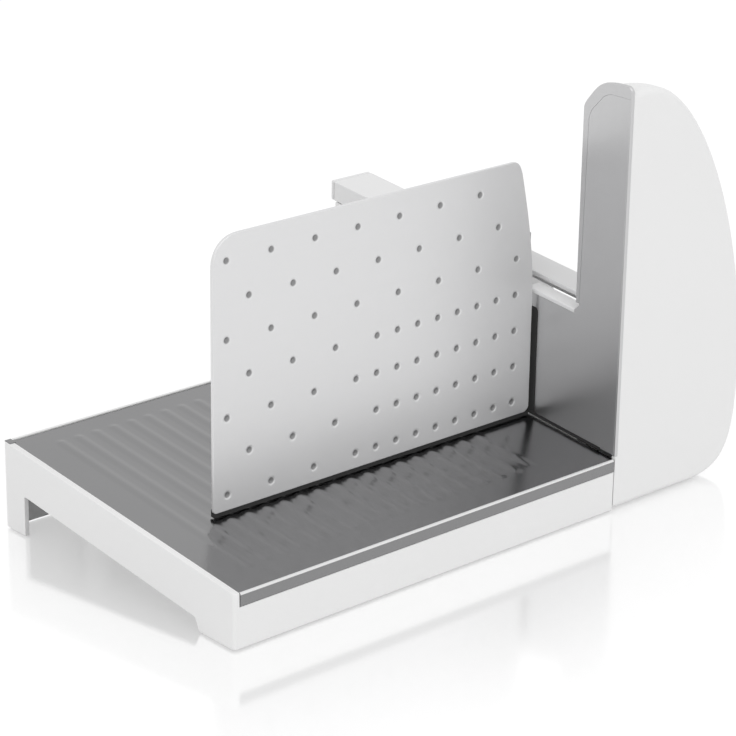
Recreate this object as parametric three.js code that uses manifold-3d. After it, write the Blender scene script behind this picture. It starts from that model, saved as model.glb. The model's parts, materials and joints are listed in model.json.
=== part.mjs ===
// Electric food slicer: a ribbed steel tray on a sloping base, a dimpled carriage wall that slides
// beside a low wall, and a tall rounded tower at the right. Millimetres, +X right along the front
// edge, +Y away from the user, +Z up. Places are measured from the base's front left corner, on the
// table, and the finished group is moved so that its origin is the middle of the footprint.
import * as THREE from "three";
import { mergeVertices } from "three/addons/utils/BufferGeometryUtils.js";
import Module from "manifold-3d";

const wasm = await Module();
wasm.setup();

// Driving dimensions
const baseLength = 274.6; // along the front, up to the tower
const baseDepth = 201;
const frontHeight = 32.2;
const backHeight = 52;
const shellWall = 2.6;
const faceRoom = 0.4;
const faceX = baseLength + faceRoom; // plane of the stop plate and the blade, which the food slides along
const towerHeight = 247.3;
const towerWidth = 103;
const towerDepth = 36;
const wallRise = 79.3; // top of the low wall, above the tray plane
const wallOverhang = 46;
const wallBack = baseDepth + wallOverhang; // how far back the low wall and the motor housing reach
const housingWidth = 69;
const housingRight = faceX + housingWidth;
const plateLeft = 40.6;
const plateRoom = 2.6;
const plateRight = faceX - plateRoom;
const plateTop = 194;
const plateFront = 67;
const plateThick = 2;
const bladeRadius = 67;
const bladeY = 146;
const bladeZ = 84;
const toothModule = 1; // size of all gear teeth, in millimetres of diameter for each tooth
const wheelTeeth = 40;
const wormStarts = 2;
const pinionTeeth = 10;
const stopTravel = 14;
const gap = 0.3; // room between two pieces that touch
const overrun = 3; // how far a cut reaches past what it cuts
const floorGap = 1; // the shells stand this far off the table, on their feet
const weldRoom = 1e-4; // corners closer than this are one corner

const slope = (backHeight - frontHeight) / baseDepth;
const deck = (y, rise = 0) => frontHeight + slope * y + rise;
const wheelRadius = (wheelTeeth * toothModule) / 2;
const pinionRadius = (pinionTeeth * toothModule) / 2;
const toothPitch = Math.PI * toothModule;

// Colours and finishes
function finish(color, roughness, metalness) {
  return new THREE.MeshStandardMaterial({ color, roughness, metalness });
}
const whitePlastic = finish(0xe9eaea, 0.42, 0);
const greyPanel = finish(0xb9bbbc, 0.38, 0.2);
const palePanel = finish(0xd4d6d7, 0.4, 0.1);
const steel = finish(0x8f9193, 0.32, 0.95);
const darkPlastic = finish(0x35383a, 0.5, 0);
const rubber = finish(0x2a2b2c, 0.85, 0);
const nylon = finish(0xd9d6c8, 0.5, 0);
const brass = finish(0xc2a15a, 0.35, 0.9);
const copper = finish(0x9a6238, 0.4, 0.8);
const boardGreen = finish(0x2f6b45, 0.55, 0);

// Turns a closed three.js geometry into a solid that can be cut and joined.
function solid(geometry) {
  const bare = geometry.index ? geometry.toNonIndexed() : geometry;
  bare.deleteAttribute("normal");
  bare.deleteAttribute("uv");
  const merged = mergeVertices(bare, weldRoom);
  const vertProperties = merged.attributes.position.array;
  const triVerts = new Uint32Array(merged.index.array);
  return new wasm.Manifold(new wasm.Mesh({ numProp: 3, vertProperties, triVerts }));
}

// The matrix that lays a drawing plane's third axis along the named axis.
function along(axis) {
  const turn = new THREE.Matrix4();
  if (axis === "x") turn.set(0, 0, 1, 0, 1, 0, 0, 0, 0, 1, 0, 0, 0, 0, 0, 1);
  if (axis === "y") turn.set(1, 0, 0, 0, 0, 0, -1, 0, 0, 1, 0, 0, 0, 0, 0, 1);
  return turn;
}

// The matrix that lifts a body drawn on a level tray plane onto the sloping one.
function ontoDeck() {
  return new THREE.Matrix4().set(1, 0, 0, 0, 0, 1, 0, 0, 0, slope, 1, frontHeight, 0, 0, 0, 1);
}

// An outline pushed along an axis: its points are (y, z), (x, z) or (x, y).
function prismShape(axis, outline, from, to) {
  const shape = new THREE.Shape(outline.map(([u, v]) => new THREE.Vector2(u, v)));
  const body = new THREE.ExtrudeGeometry(shape, { depth: to - from, bevelEnabled: false });
  body.translate(0, 0, axis === "y" ? -to : from);
  return body.applyMatrix4(along(axis));
}
const prism = (axis, outline, from, to) => solid(prismShape(axis, outline, from, to));
const deckPrism = (axis, outline, from, to) =>
  solid(prismShape(axis, outline, from, to).applyMatrix4(ontoDeck()));
const rectangle = (u0, u1, v0, v1) => [[u0, v0], [u1, v0], [u1, v1], [u0, v1]];
const box = (x0, x1, y0, y1, z0, z1) => prism("z", rectangle(x0, x1, y0, y1), z0, z1);
const deckBox = (x0, x1, y0, y1, low, high) => deckPrism("z", rectangle(x0, x1, y0, y1), low, high);

function ring(u, v, radius, sides) {
  return Array.from({ length: sides }, (_, i) => {
    const angle = (2 * Math.PI * i) / sides;
    return [u + radius * Math.cos(angle), v + radius * Math.sin(angle)];
  });
}
const rod = (axis, u, v, radius, from, to, sides = 20) => prism(axis, ring(u, v, radius, sides), from, to);

function tube(axis, u, v, inner, outer, from, to, sides = 20) {
  const bore = rod(axis, u, v, inner, from - overrun, to + overrun, sides);
  return rod(axis, u, v, outer, from, to, sides).subtract(bore);
}

// Joins outlines of equal point counts, each [level, outline], into one closed body along an axis.
function loft(axis, levels) {
  const sorted = levels.map(([at, outline]) => [axis === "y" ? -at : at, outline]);
  sorted.sort((a, b) => a[0] - b[0]);
  const count = sorted[0][1].length;
  const flat = sorted[0][1].map(([u, v]) => new THREE.Vector2(u, v));
  const top = (sorted.length - 1) * count;
  const faces = [];
  for (const [a, b, c] of THREE.ShapeUtils.triangulateShape(flat, []))
    faces.push(a, c, b, top + a, top + b, top + c);
  for (let level = 0; level < top; level += count)
    for (let i = 0; i < count; i++) {
      const [a, b] = [level + i, level + ((i + 1) % count)];
      faces.push(a, b, b + count, a, b + count, a + count);
    }
  const places = sorted.flatMap(([w, outline]) => outline.flatMap(([u, v]) => [u, v, w]));
  const body = new THREE.BufferGeometry();
  body.setAttribute("position", new THREE.Float32BufferAttribute(places, 3));
  body.setIndex(faces);
  return solid(body.applyMatrix4(along(axis)));
}

const slicer = new THREE.Group();
function piece(name, made, material) {
  const mesh = made.getMesh();
  const geometry = new THREE.BufferGeometry();
  geometry.setAttribute("position", new THREE.Float32BufferAttribute(mesh.vertProperties, 3));
  geometry.setIndex(new THREE.Uint32BufferAttribute(mesh.triVerts, 1));
  geometry.computeVertexNormals();
  const item = new THREE.Mesh(geometry, material.clone());
  item.name = name;
  slicer.add(item);
}

// Screws: the head lies past headAt, on the side away from the tip.
const screw = { shank: 1.7, head: 3.4, headHeight: 2, hole: 2.1, boss: 4.2 };
function screwSolid(axis, u, v, headAt, tipAt) {
  const headEnd = headAt + Math.sign(headAt - tipAt) * screw.headHeight;
  const shank = rod(axis, u, v, screw.shank, Math.min(tipAt, headEnd), Math.max(tipAt, headEnd), 10);
  return shank.add(rod(axis, u, v, screw.head, Math.min(headAt, headEnd), Math.max(headAt, headEnd), 12));
}
const screwHole = (axis, u, v, from, to) => rod(axis, u, v, screw.hole, from, to, 10);

// Base, tray and the steel plate that ties the base to the motor housing
const tray = {
  thick: 1,
  drop: 1.5, // underside of the sheet, below the base's rim
  left: 4.2,
  backInset: 2.4,
  lipBottom: 24.6,
  deckThick: 2.4,
  rimWidth: 3.6,
  backRim: 2,
  ribCount: 17,
  ribPitch: 12.6,
  firstRib: 26.8,
  ribWidth: 5.4,
  ribCrown: 2.2,
  ribHeight: 1.2,
  ribFront: 17,
  ribBack: 186,
};
const arch = { front: 26, frontTop: 31.8, rise: 8.4, back: 182.2, backRise: 24.8 };
const slotWall = 2;
const slotRoom = 3;
const bladeSlot = { left: baseLength - slotWall, front: bladeY - bladeRadius - slotRoom };
const chassisSheet = {
  lap: 46.6, // how far it reaches under the base
  rightInset: 8,
  frontInset: 6,
  backInset: 5,
  low: 4,
  thick: 2,
  screwInset: 12,
  screwTip: 16,
};
const chassis = {
  left: baseLength - chassisSheet.lap,
  right: housingRight - chassisSheet.rightInset,
  front: towerDepth + chassisSheet.frontInset,
  back: baseDepth - chassisSheet.backInset,
  low: chassisSheet.low,
  high: chassisSheet.low + chassisSheet.thick,
};
const foot = { radius: 7, height: 2.4, inset: 17, leftInset: 50, boss: 8 };
const footSpots = [
  [foot.leftInset, foot.inset],
  [foot.leftInset, baseDepth - foot.inset],
  [housingRight - foot.inset, towerDepth + foot.inset],
  [housingRight - foot.inset, wallBack - foot.inset],
];
const chassisScrewSpots = [
  [chassis.left + chassisSheet.screwInset, chassis.front + chassisSheet.screwInset],
  [chassis.left + chassisSheet.screwInset, chassis.back - chassisSheet.screwInset],
];
const underDeck = -tray.drop - gap - tray.deckThick;

function chassisPassage() {
  const { left, right, front, back, high } = chassis;
  return box(left - gap, right + gap, front - gap, back + gap, -overrun, high + gap);
}

function baseShell() {
  const side = [[0, floorGap], [baseDepth, floorGap], [baseDepth, backHeight], [0, frontHeight]];
  const wallFace = bladeSlot.left - shellWall;
  const past = baseLength + overrun;
  const inner = rectangle(shellWall, wallFace, shellWall + tray.thick, baseDepth - shellWall);
  const recess = -tray.drop - gap;
  const opening = [
    [arch.front, -overrun],
    [arch.frontTop, arch.rise],
    [arch.back, arch.backRise],
    [arch.back, -overrun],
  ];
  let shell = prism("x", side, 0, baseLength)
    .subtract(deckPrism("z", inner, -backHeight - overrun, underDeck))
    .subtract(deckBox(tray.rimWidth, past, -overrun, baseDepth - tray.backRim, recess, backHeight))
    .subtract(box(tray.rimWidth, past, -overrun, tray.thick + gap, tray.lipBottom - gap, towerHeight))
    .subtract(box(bladeSlot.left, past, bladeSlot.front, baseDepth + overrun, -overrun, towerHeight))
    .subtract(prism("x", opening, -overrun, shellWall + overrun));
  for (const [x, y] of footSpots.slice(0, 2))
    shell = shell.add(rod("z", x, y, foot.boss, foot.height + gap, deck(y, underDeck + gap), 16));
  for (const [x, y] of chassisScrewSpots) {
    shell = shell.add(rod("z", x, y, screw.boss, chassis.high + gap, deck(y, underDeck + gap), 12));
    shell = shell.subtract(screwHole("z", x, y, -overrun, chassisSheet.screwTip + gap));
  }
  return shell.subtract(chassisPassage());
}

function foodTray() {
  const { left, drop, thick, lipBottom } = tray;
  const back = baseDepth - tray.backInset;
  const right = faceX - 2 * gap;
  const top = thick - drop;
  let sheet = deckBox(left, right, 0, back, -drop, top);
  sheet = sheet.add(box(left, right, 0, thick, lipBottom, frontHeight - drop + thick / 2));
  const [slotLeft, slotRight] = [bladeSlot.left - gap, baseLength + overrun];
  sheet = sheet.subtract(box(slotLeft, slotRight, bladeSlot.front - gap, wallBack, 0, towerHeight));
  for (let i = 0; i < tray.ribCount; i++) {
    const x = tray.firstRib + i * tray.ribPitch;
    const profile = [
      [x - tray.ribWidth / 2, top - thick / 2],
      [x + tray.ribWidth / 2, top - thick / 2],
      [x + tray.ribCrown / 2, top + tray.ribHeight],
      [x - tray.ribCrown / 2, top + tray.ribHeight],
    ];
    sheet = sheet.add(deckPrism("y", profile, tray.ribFront, tray.ribBack));
  }
  return sheet;
}

function chassisPlate() {
  const { left, right, front, back, low, high } = chassis;
  let plate = box(left, right, front, back, low, high);
  for (const [x, y] of chassisScrewSpots)
    plate = plate.subtract(screwHole("z", x, y, -overrun, high + overrun));
  return plate;
}

piece("base_shell", baseShell(), whitePlastic);
piece("food_tray", foodTray(), steel);
piece("chassis_plate", chassisPlate(), steel);
chassisScrewSpots.forEach(([x, y], i) => {
  const made = screwSolid("z", x, y, chassis.low - gap, chassisSheet.screwTip);
  piece(`chassis_screw_${i + 1}`, made, steel);
});
footSpots.forEach(([x, y], i) => {
  piece(`rubber_foot_${i + 1}`, rod("z", x, y, foot.radius, 0, foot.height, 16), rubber);
});

// Tower: a front and a back shell, open at the left where the stop plate closes them
const tower = {
  shoulder: 9, // flat top before the curve starts
  waist: 60, // height of the widest point
  upperPower: 1.82,
  lowerPower: 3,
  lowerRun: 40,
  seam: 18,
  edgeSteps: 14,
  frontRadius: 4, // rounding of the front edge
  frontShares: [[0, 1], [0.3, 0.35], [1, 0]], // depth and inset of its levels, as shares of the radius
  backRadius: 16,
  backShares: [[-0.72, 0.16], [-0.41, 0.51], [-0.11, 0.86], [0, 1.12]],
  screwAcross: { low: 65, middle: 61, high: 29 }, // from the stop plate's plane
  screwLow: 22,
  screwMiddleDrop: 81.3, // from the tower's top
  screwHighDrop: 29,
};
const frontRound = tower.frontShares.map((shares) => shares.map((share) => share * tower.frontRadius));
const backRound = tower.backShares.map(([deep, inset]) => [
  towerDepth + deep * tower.backRadius,
  inset * tower.backRadius,
]);

// The tower seen from the front: a straight left side, and one long curve at the right.
function towerOutline(inset, left = faceX) {
  const centreX = faceX + tower.shoulder;
  const reach = towerWidth - tower.shoulder - inset;
  const upper = towerHeight - tower.waist - inset;
  const lower = tower.waist - floorGap - inset;
  const lowerX = centreX + reach - tower.lowerRun;
  const points = [[left, floorGap + inset], [left, towerHeight - inset]];
  for (let i = 0; i <= tower.edgeSteps; i++) {
    const angle = (i / tower.edgeSteps) * (Math.PI / 2);
    const power = 2 / tower.upperPower;
    const [across, up] = [Math.sin(angle) ** power, Math.cos(angle) ** power];
    points.push([centreX + reach * across, tower.waist + upper * up]);
  }
  for (let i = 1; i <= tower.edgeSteps / 2; i++) {
    const angle = (i / (tower.edgeSteps / 2)) * (Math.PI / 2);
    const power = 2 / tower.lowerPower;
    const [across, down] = [Math.cos(angle) ** power, Math.sin(angle) ** power];
    points.push([lowerX + tower.lowerRun * across, tower.waist - lower * down]);
  }
  return points.reverse();
}

const towerScrewSpots = [
  [faceX + tower.screwAcross.low, tower.screwLow],
  [faceX + tower.screwAcross.middle, towerHeight - tower.screwMiddleDrop],
  [faceX + tower.screwAcross.high, towerHeight - tower.screwHighDrop],
];
// Heights in the tower, as shares of its own height
const heightShares = { upperRod: 0.6066, rack: 0.4205, lowerRod: 0.3397, power: 0.2669, safety: 0.1698 };
const rackBar = { across: 65, toothed: 28, height: 6, width: 8, centreY: 16 };
const rack = {
  ...rackBar,
  z: towerHeight * heightShares.rack,
  toothLeft: faceX + rackBar.across - rackBar.toothed,
  right: faceX + rackBar.across,
};
const knobAcross = 56;
const knob = {
  x: faceX + knobAcross,
  z: rack.z - pinionRadius,
  radius: 18,
  depth: 20,
  seat: 1.5,
  grips: 12,
  gripShare: 0.93,
  shaft: 3,
};
const buttonAcross = 74.5;
const button = {
  x: faceX + buttonAcross,
  radius: 8,
  flange: 9.4,
  flangeThick: 2,
  proud: 3.6,
};
const buttonHeights = {
  power: towerHeight * heightShares.power,
  safety: towerHeight * heightShares.safety,
};
const backWallInside = towerDepth - shellWall;

function towerCover() {
  const { seam } = tower;
  const rounded = frontRound.map(([y, inset]) => [y, towerOutline(inset)]);
  const outer = loft("y", [...rounded, [seam, towerOutline(0)]]);
  const hollow = prism("y", towerOutline(shellWall, faceX - overrun), shellWall, seam + overrun);
  let shell = outer.subtract(hollow);
  for (const [x, z] of towerScrewSpots) {
    shell = shell.add(rod("y", x, z, screw.boss, shellWall - gap, seam, 12));
    shell = shell.subtract(screwHole("y", x, z, shellWall, seam + overrun));
  }
  const [bossFront, bossBack] = [shellWall - gap, rack.centreY / 2];
  const boss = tube("y", knob.x, knob.z, knob.shaft + gap, knob.shaft + shellWall, bossFront, bossBack);
  return shell.add(boss).subtract(stopPlateRoom(stopPlate.front - gap, seam));
}

// The space that the stop plate sweeps between two depths, from the tray up to its own top.
function stopPlateRoom(from, to, top = stopPlate.top) {
  const right = faceX + stopPlate.thick + stopTravel + gap;
  return box(faceX - overrun, right, from, to, deck(0, stopPlate.low) - gap, top + gap);
}

function towerBack() {
  const { seam } = tower;
  const from = seam + gap;
  const rounded = backRound.map(([y, inset]) => [y, towerOutline(inset)]);
  const outer = loft("y", [[from, towerOutline(0)], ...rounded]);
  const inner = loft("y", [
    [from - overrun, towerOutline(shellWall, faceX - overrun)],
    [backRound[0][0], towerOutline(shellWall + backRound[0][1], faceX - overrun)],
    [backWallInside, towerOutline(shellWall + backRound[2][1], faceX - overrun)],
  ]);
  let shell = outer.subtract(inner);
  for (const [x, z] of towerScrewSpots) {
    shell = shell.add(rod("y", x, z, screw.boss, from, backWallInside + gap, 12));
    shell = shell.subtract(screwHole("y", x, z, seam - overrun, towerDepth + overrun));
    const sunk = rod("y", x, z, screw.head + gap, towerDepth - screw.headHeight, towerDepth + overrun, 12);
    shell = shell.subtract(sunk);
  }
  const [low, high] = [backWallInside - overrun, towerDepth + overrun];
  shell = shell.subtract(rod("y", knob.x, knob.z, knob.shaft + knobBush.wall + gap, low, high));
  for (const z of Object.values(buttonHeights))
    shell = shell.subtract(rod("y", button.x, z, button.radius + gap, low, high, 24));
  const notchTop = deck(towerDepth, wallRise - stopPlate.flangeDrop) + stopPlate.thick + gap;
  return shell.subtract(stopPlateRoom(stopPlate.columnBack, high, notchTop));
}

// Stop plate: one flat plate that closes the tower's left side and runs on as the low wall
const stopSheet = {
  thick: 3,
  front: 1.5,
  low: 1.4, // above the tray plane
  backRoom: 2, // to the slot that the blade turns in
  flangeWidth: 10,
  flangeThick: 2.4,
  flangeDrop: 3.4, // its top lies this far under the rail's top, so that it slides under the rail
  topShoulder: 12,
  topDrop: 4.4,
  topInset: 4.6,
  columnInset: 3,
  cornerDepth: 11.4, // the rounded corner at the column's top
  cornerDrop: 12,
  cornerShares: [[0.956, 0.167], [0.474, 0.683], [0.088, 1.1]],
};
const stopPlate = {
  ...stopSheet,
  lowBack: bladeSlot.front - stopSheet.backRoom,
  flangeRight: faceX + stopSheet.flangeWidth,
  top: towerHeight - stopSheet.topDrop,
  topBack: towerDepth - stopSheet.topInset,
  columnBack: towerDepth - stopSheet.columnInset,
};

function stopPlateSolid() {
  const { thick, front, low, lowBack, top, topBack, columnBack, cornerDepth, cornerDrop } = stopPlate;
  const wallTop = wallRise - stopPlate.flangeDrop;
  const corner = stopPlate.cornerShares.map(([inward, down]) => [
    topBack - inward * cornerDepth,
    top - down * cornerDrop,
  ]);
  const outline = [
    [front, deck(front, low)],
    [lowBack, deck(lowBack, low)],
    [lowBack, deck(lowBack, wallTop)],
    [towerDepth + gap, deck(towerDepth, wallTop)],
    [columnBack, deck(towerDepth, wallTop) + thick],
    [topBack, top - stopPlate.topShoulder - thick],
    ...corner.toReversed(),
    [stopPlate.topShoulder, top],
    [front, top],
  ];
  const sheet = prism("x", outline, faceX, faceX + thick);
  const { flangeThick, flangeRight } = stopPlate;
  const flange = deckBox(faceX, flangeRight, towerDepth + 2 * gap, lowBack, wallTop - flangeThick, wallTop);
  return sheet.add(flange);
}

const guide = { y: 17, radius: 4, past: 24, endRoom: 22, bushWall: 3, bushLength: 9 };
const guideHeights = {
  upper: towerHeight * heightShares.upperRod,
  lower: towerHeight * heightShares.lowerRod,
};
const frame = {
  x: rack.toothLeft,
  thick: 3,
  front: 8,
  foot: 14,
  low: guideHeights.lower - guide.endRoom,
  high: guideHeights.upper + guide.endRoom,
};

function towerFrame() {
  const { x, thick, front, low, high } = frame;
  const back = backWallInside - gap;
  let plate = box(x, x + thick, front, back, low, high);
  plate = plate.add(box(x, x + frame.foot, back - thick, back, low, high));
  const bushRoom = guide.radius + guide.bushWall + 2 * gap;
  for (const z of Object.values(guideHeights))
    plate = plate.subtract(rod("x", guide.y, z, bushRoom, x - overrun, x + thick + overrun));
  const passage = rack.height + toothModule + 2 * gap;
  plate = plate.subtract(box(x - overrun, x + thick + overrun, front - overrun, rack.centreY + rack.width,
    rack.z - passage, rack.z + passage));
  const knobRoom = knob.shaft + knobBush.wall + shellWall;
  return plate.subtract(rod("y", knob.x, knob.z, knobRoom, front - overrun, back + overrun));
}

function rackSolid() {
  const { z, height, width, centreY, toothLeft, right } = rack;
  const left = faceX + stopPlate.thick + gap;
  const outline = [[left, z + height], [left, z + toothModule]];
  const half = toothPitch / 2;
  const firstTooth = knob.x - toothPitch * Math.floor((knob.x - toothLeft) / toothPitch);
  for (let x = firstTooth; x + half < right; x += toothPitch) {
    const [wide, narrow] = [half / 2 + rackTooth.flank, half / 2 - rackTooth.flank];
    const [root, tip] = [z + toothModule, z - rackTooth.depth];
    outline.push([x - wide, root], [x - narrow, tip], [x + narrow, tip], [x + wide, root]);
  }
  outline.push([right, z + toothModule], [right, z + height]);
  return prism("y", outline, centreY - width / 2, centreY + width / 2);
}

// Teeth as plain trapezoids, with room at the root and between the flanks
const rackTooth = { flank: 0.26, depth: 0.68 };
const pinionTooth = { tip: 0.7, root: 1.25, tipShare: 0.145, rootShare: 0.285 };
const wheelTooth = { tip: 0.2, root: 1.2, tipShare: 0.11, rootShare: 0.24 };
const knobBush = { wall: 2.6, flange: 1.6 };

// A toothed wheel's outline: each tooth is centred on a multiple of the pitch, from angle start.
function gearOutline(u, v, teeth, radius, start, tooth) {
  const points = [];
  const turn = (2 * Math.PI) / teeth;
  for (let i = 0; i < teeth; i++) {
    const corners = [
      [-tooth.rootShare, radius - tooth.root],
      [-tooth.tipShare, radius + tooth.tip],
      [tooth.tipShare, radius + tooth.tip],
      [tooth.rootShare, radius - tooth.root],
    ];
    for (const [share, r] of corners) {
      const angle = start + (i + share) * turn;
      points.push([u + r * Math.cos(angle), v + r * Math.sin(angle)]);
    }
  }
  return points;
}

function knobShaft() {
  const { centreY, width } = rack;
  const end = towerDepth + gap + knob.depth - shellWall;
  const shaft = rod("y", knob.x, knob.z, knob.shaft, shellWall + gap, end, 16);
  const start = Math.PI / 2 + Math.PI / pinionTeeth;
  const outline = gearOutline(knob.x, knob.z, pinionTeeth, pinionRadius, start, pinionTooth);
  return shaft.add(prism("y", outline, centreY - width / 2, centreY + width / 2));
}

function knobSolid() {
  const { x, z, radius, depth, seat, grips, gripShare } = knob;
  const from = towerDepth + knobBush.flange + 2 * gap;
  const waves = Array.from({ length: 2 * grips }, (_, i) => {
    const angle = (Math.PI * i) / grips;
    const r = i % 2 ? radius : radius * gripShare;
    return [x + r * Math.cos(angle), z + r * Math.sin(angle)];
  });
  const skirt = rod("y", x, z, radius, from, from + 2 * seat, 32);
  const bore = rod("y", x, z, knob.shaft + gap / 3, from - overrun, from + depth - 2 * seat, 16);
  return skirt.add(prism("y", waves, from + seat, from + depth)).subtract(bore);
}

function knobBushSolid() {
  const outer = knob.shaft + knobBush.wall;
  const inner = knob.shaft + gap / 3;
  const seat = towerDepth + gap;
  const sleeve = tube("y", knob.x, knob.z, inner, outer, backWallInside - overrun, seat);
  return sleeve.add(tube("y", knob.x, knob.z, inner, outer + shellWall, seat, seat + knobBush.flange));
}

const board = {
  inset: 3,
  rise: 12, // above the knob's axis
  width: 22,
  tall: 24,
  thick: 1.6,
  post: 2.4,
  canRadius: 5,
  canLength: 9,
};
function boardSolid() {
  const { thick, post, canRadius, canLength } = board;
  const [left, low] = [knob.x - board.inset, knob.z + board.rise];
  const [right, high] = [left + board.width, low + board.tall];
  const [x, z] = [(left + right) / 2, (low + high) / 2];
  const back = backWallInside - gap;
  const face = back - overrun - thick;
  let card = box(left, right, face, face + thick, low, high);
  for (const postX of [left + post, right - post])
    card = card.add(rod("y", postX, z, post, face + thick / 2, back, 10));
  return card.add(rod("y", x, z, canRadius, face - canLength, face + thick / 2, 14));
}

const switchBody = { halfWidth: 9, halfHeight: 8, depth: 20.1, plungerFront: 8 };
switchBody.back = shellWall + gap + switchBody.depth;
const spring = { radius: 3.6, wire: 0.5, turns: 4, stepsPerTurn: 8, sides: 5 };

function switchSolid(z) {
  const { halfWidth, halfHeight, plungerFront: front, back } = switchBody;
  const [left, right] = [button.x - halfWidth, button.x + halfWidth];
  const body = box(left, right, shellWall + gap, back, z - halfHeight, z + halfHeight);
  const plunger = spring.radius - 2 * spring.wire - gap;
  return body.add(rod("y", button.x, z, plunger, front, back + overrun / 2, 10));
}

// A coil spring between two y levels, as one unbroken wire.
class Coil extends THREE.Curve {
  constructor(x, z, from, to) {
    super();
    Object.assign(this, { x, z, from, to });
  }
  getPoint(share, target = new THREE.Vector3()) {
    const angle = 2 * Math.PI * spring.turns * share;
    const [across, up] = [spring.radius * Math.cos(angle), spring.radius * Math.sin(angle)];
    return target.set(this.x + across, this.from + (this.to - this.from) * share, this.z + up);
  }
}
function springSolid(z) {
  const from = switchBody.back + gap + spring.wire;
  const to = backWallInside - button.flangeThick - 2 * gap - spring.wire;
  const wire = ring(0, 0, spring.wire, spring.sides).map(([u, v]) => new THREE.Vector2(u, v));
  const extrudePath = new Coil(button.x, z, from, to);
  const steps = spring.turns * spring.stepsPerTurn;
  return solid(new THREE.ExtrudeGeometry(new THREE.Shape(wire), { steps, extrudePath }));
}

function buttonSolid(z) {
  const flangeBack = backWallInside - gap;
  const cap = rod("y", button.x, z, button.radius, flangeBack - gap, towerDepth + button.proud, 24);
  return cap.add(rod("y", button.x, z, button.flange, flangeBack - button.flangeThick, flangeBack, 24));
}

piece("tower_cover", towerCover(), whitePlastic);
piece("tower_back", towerBack(), whitePlastic);
piece("tower_frame", towerFrame(), steel);
piece("stop_plate", stopPlateSolid(), greyPanel);
piece("stop_rack", rackSolid(), nylon);
for (const [name, z] of Object.entries(guideHeights)) {
  const { y, radius, past, bushWall, bushLength } = guide;
  const right = frame.x + past;
  const middle = frame.x + frame.thick / 2;
  const [from, to] = [middle - bushLength / 2, middle + bushLength / 2];
  const bushSolid = tube("x", y, z, radius + gap / 3, radius + bushWall + gap, from, to, 16);
  piece(`${name}_guide_rod`, rod("x", y, z, radius, faceX + stopPlate.thick + gap, right, 16), steel);
  piece(`${name}_guide_bush`, bushSolid, nylon);
}
piece("knob_shaft", knobShaft(), steel);
piece("knob_bush", knobBushSolid(), nylon);
piece("thickness_knob", knobSolid(), darkPlastic);
piece("control_board", boardSolid(), boardGreen);
for (const [name, z] of Object.entries(buttonHeights)) {
  piece(`${name}_switch`, switchSolid(z), darkPlastic);
  piece(`${name}_spring`, springSolid(z), steel);
  piece(`${name}_button`, buttonSolid(z), name === "power" ? darkPlastic : whitePlastic);
}
towerScrewSpots.forEach(([x, z], i) => {
  const made = screwSolid("y", x, z, towerDepth - screw.headHeight + gap, tower.seam / 2);
  piece(`tower_screw_${i + 1}`, made, steel);
});

// Motor housing behind the low wall: a shell open at the right and below, with two covers
const housingRoom = 3.6; // between the blade's plane and the housing's left wall
const roofAhead = 26.7; // how far the roof reaches in front of the blade's axis
const chamferRun = 26;
const housing = {
  left: faceX + housingRoom,
  front: towerDepth + 2 * gap,
  roofFront: bladeY - roofAhead,
  shelfFront: 36,
  shelfBack: 40,
  roofDrop: 12.6, // roof below the top of the wall, where the rail's web stands on it
  chamferX: housingRight - chamferRun,
  chamferDrop: 16,
  hubHole: 12,
  bottomThick: 2.4,
};
const coverSplit = housingRight - shellWall;
const ventGroup = { count: 6, pitch: 8, width: 3.4, low: 44, high: 74, reach: 67 };

function housingOutline(inset) {
  const { front, roofFront, shelfFront, shelfBack, roofDrop } = housing;
  const roof = wallRise - roofDrop - inset;
  return [
    [front + inset, floorGap],
    [wallBack - inset, floorGap],
    [wallBack - inset, deck(wallBack, roof)],
    [roofFront + inset, deck(roofFront, roof)],
    [roofFront + inset, shelfBack - inset],
    [front + inset, shelfFront - inset],
  ];
}

// Everything above the sloping right edge of the roof, to be cut away.
function roofChamfer(inset) {
  const top = wallRise - housing.roofDrop - inset;
  const edge = [
    [housing.chamferX, top],
    [housingRight, top - housing.chamferDrop],
    [housingRight + overrun, top - housing.chamferDrop],
    [housingRight + overrun, wallRise],
    [housing.chamferX, wallRise],
  ];
  return deckPrism("y", edge, housing.front, wallBack + overrun);
}

function sideHousing() {
  const room = housingOutline(shellWall).map(([y, z]) => [y, z === floorGap ? -overrun : z]);
  const { left, hubHole } = housing;
  const body = prism("x", room, left + shellWall, housingRight + overrun);
  const cavity = body.subtract(roofChamfer(shellWall));
  const shell = prism("x", housingOutline(0), left, coverSplit).subtract(cavity).subtract(roofChamfer(0));
  const hubRoom = rod("x", bladeY, bladeZ, hubHole, left - overrun, left + 2 * overrun);
  const [holeFront, holeBack] = [wallBack - 2 * shellWall, wallBack + overrun];
  const inletRoom = rod("y", inlet.x, inlet.z, inlet.neck + gap, holeFront, holeBack);
  return shell.subtract(hubRoom).subtract(inletRoom).subtract(chassisPassage());
}

function sideCover() {
  let cover = prism("x", housingOutline(0), coverSplit + gap, housingRight).subtract(roofChamfer(0));
  const { count, pitch, width, low, high, reach } = ventGroup;
  for (let i = 0; i < count; i++) {
    const y = wallBack - reach + i * pitch;
    cover = cover.subtract(box(coverSplit, housingRight + overrun, y, y + width, low, high));
  }
  return cover;
}

function bottomCover() {
  const inside = shellWall + gap;
  const [left, right] = [housing.left + inside, coverSplit - gap];
  const [front, back] = [housing.front + inside, wallBack - inside];
  let plate = box(left, right, front, back, floorGap, floorGap + housing.bottomThick);
  for (const [x, y] of footSpots.slice(2))
    plate = plate.subtract(rod("z", x, y, foot.radius + gap, -overrun, foot.height + gap, 16));
  return plate;
}

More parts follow.
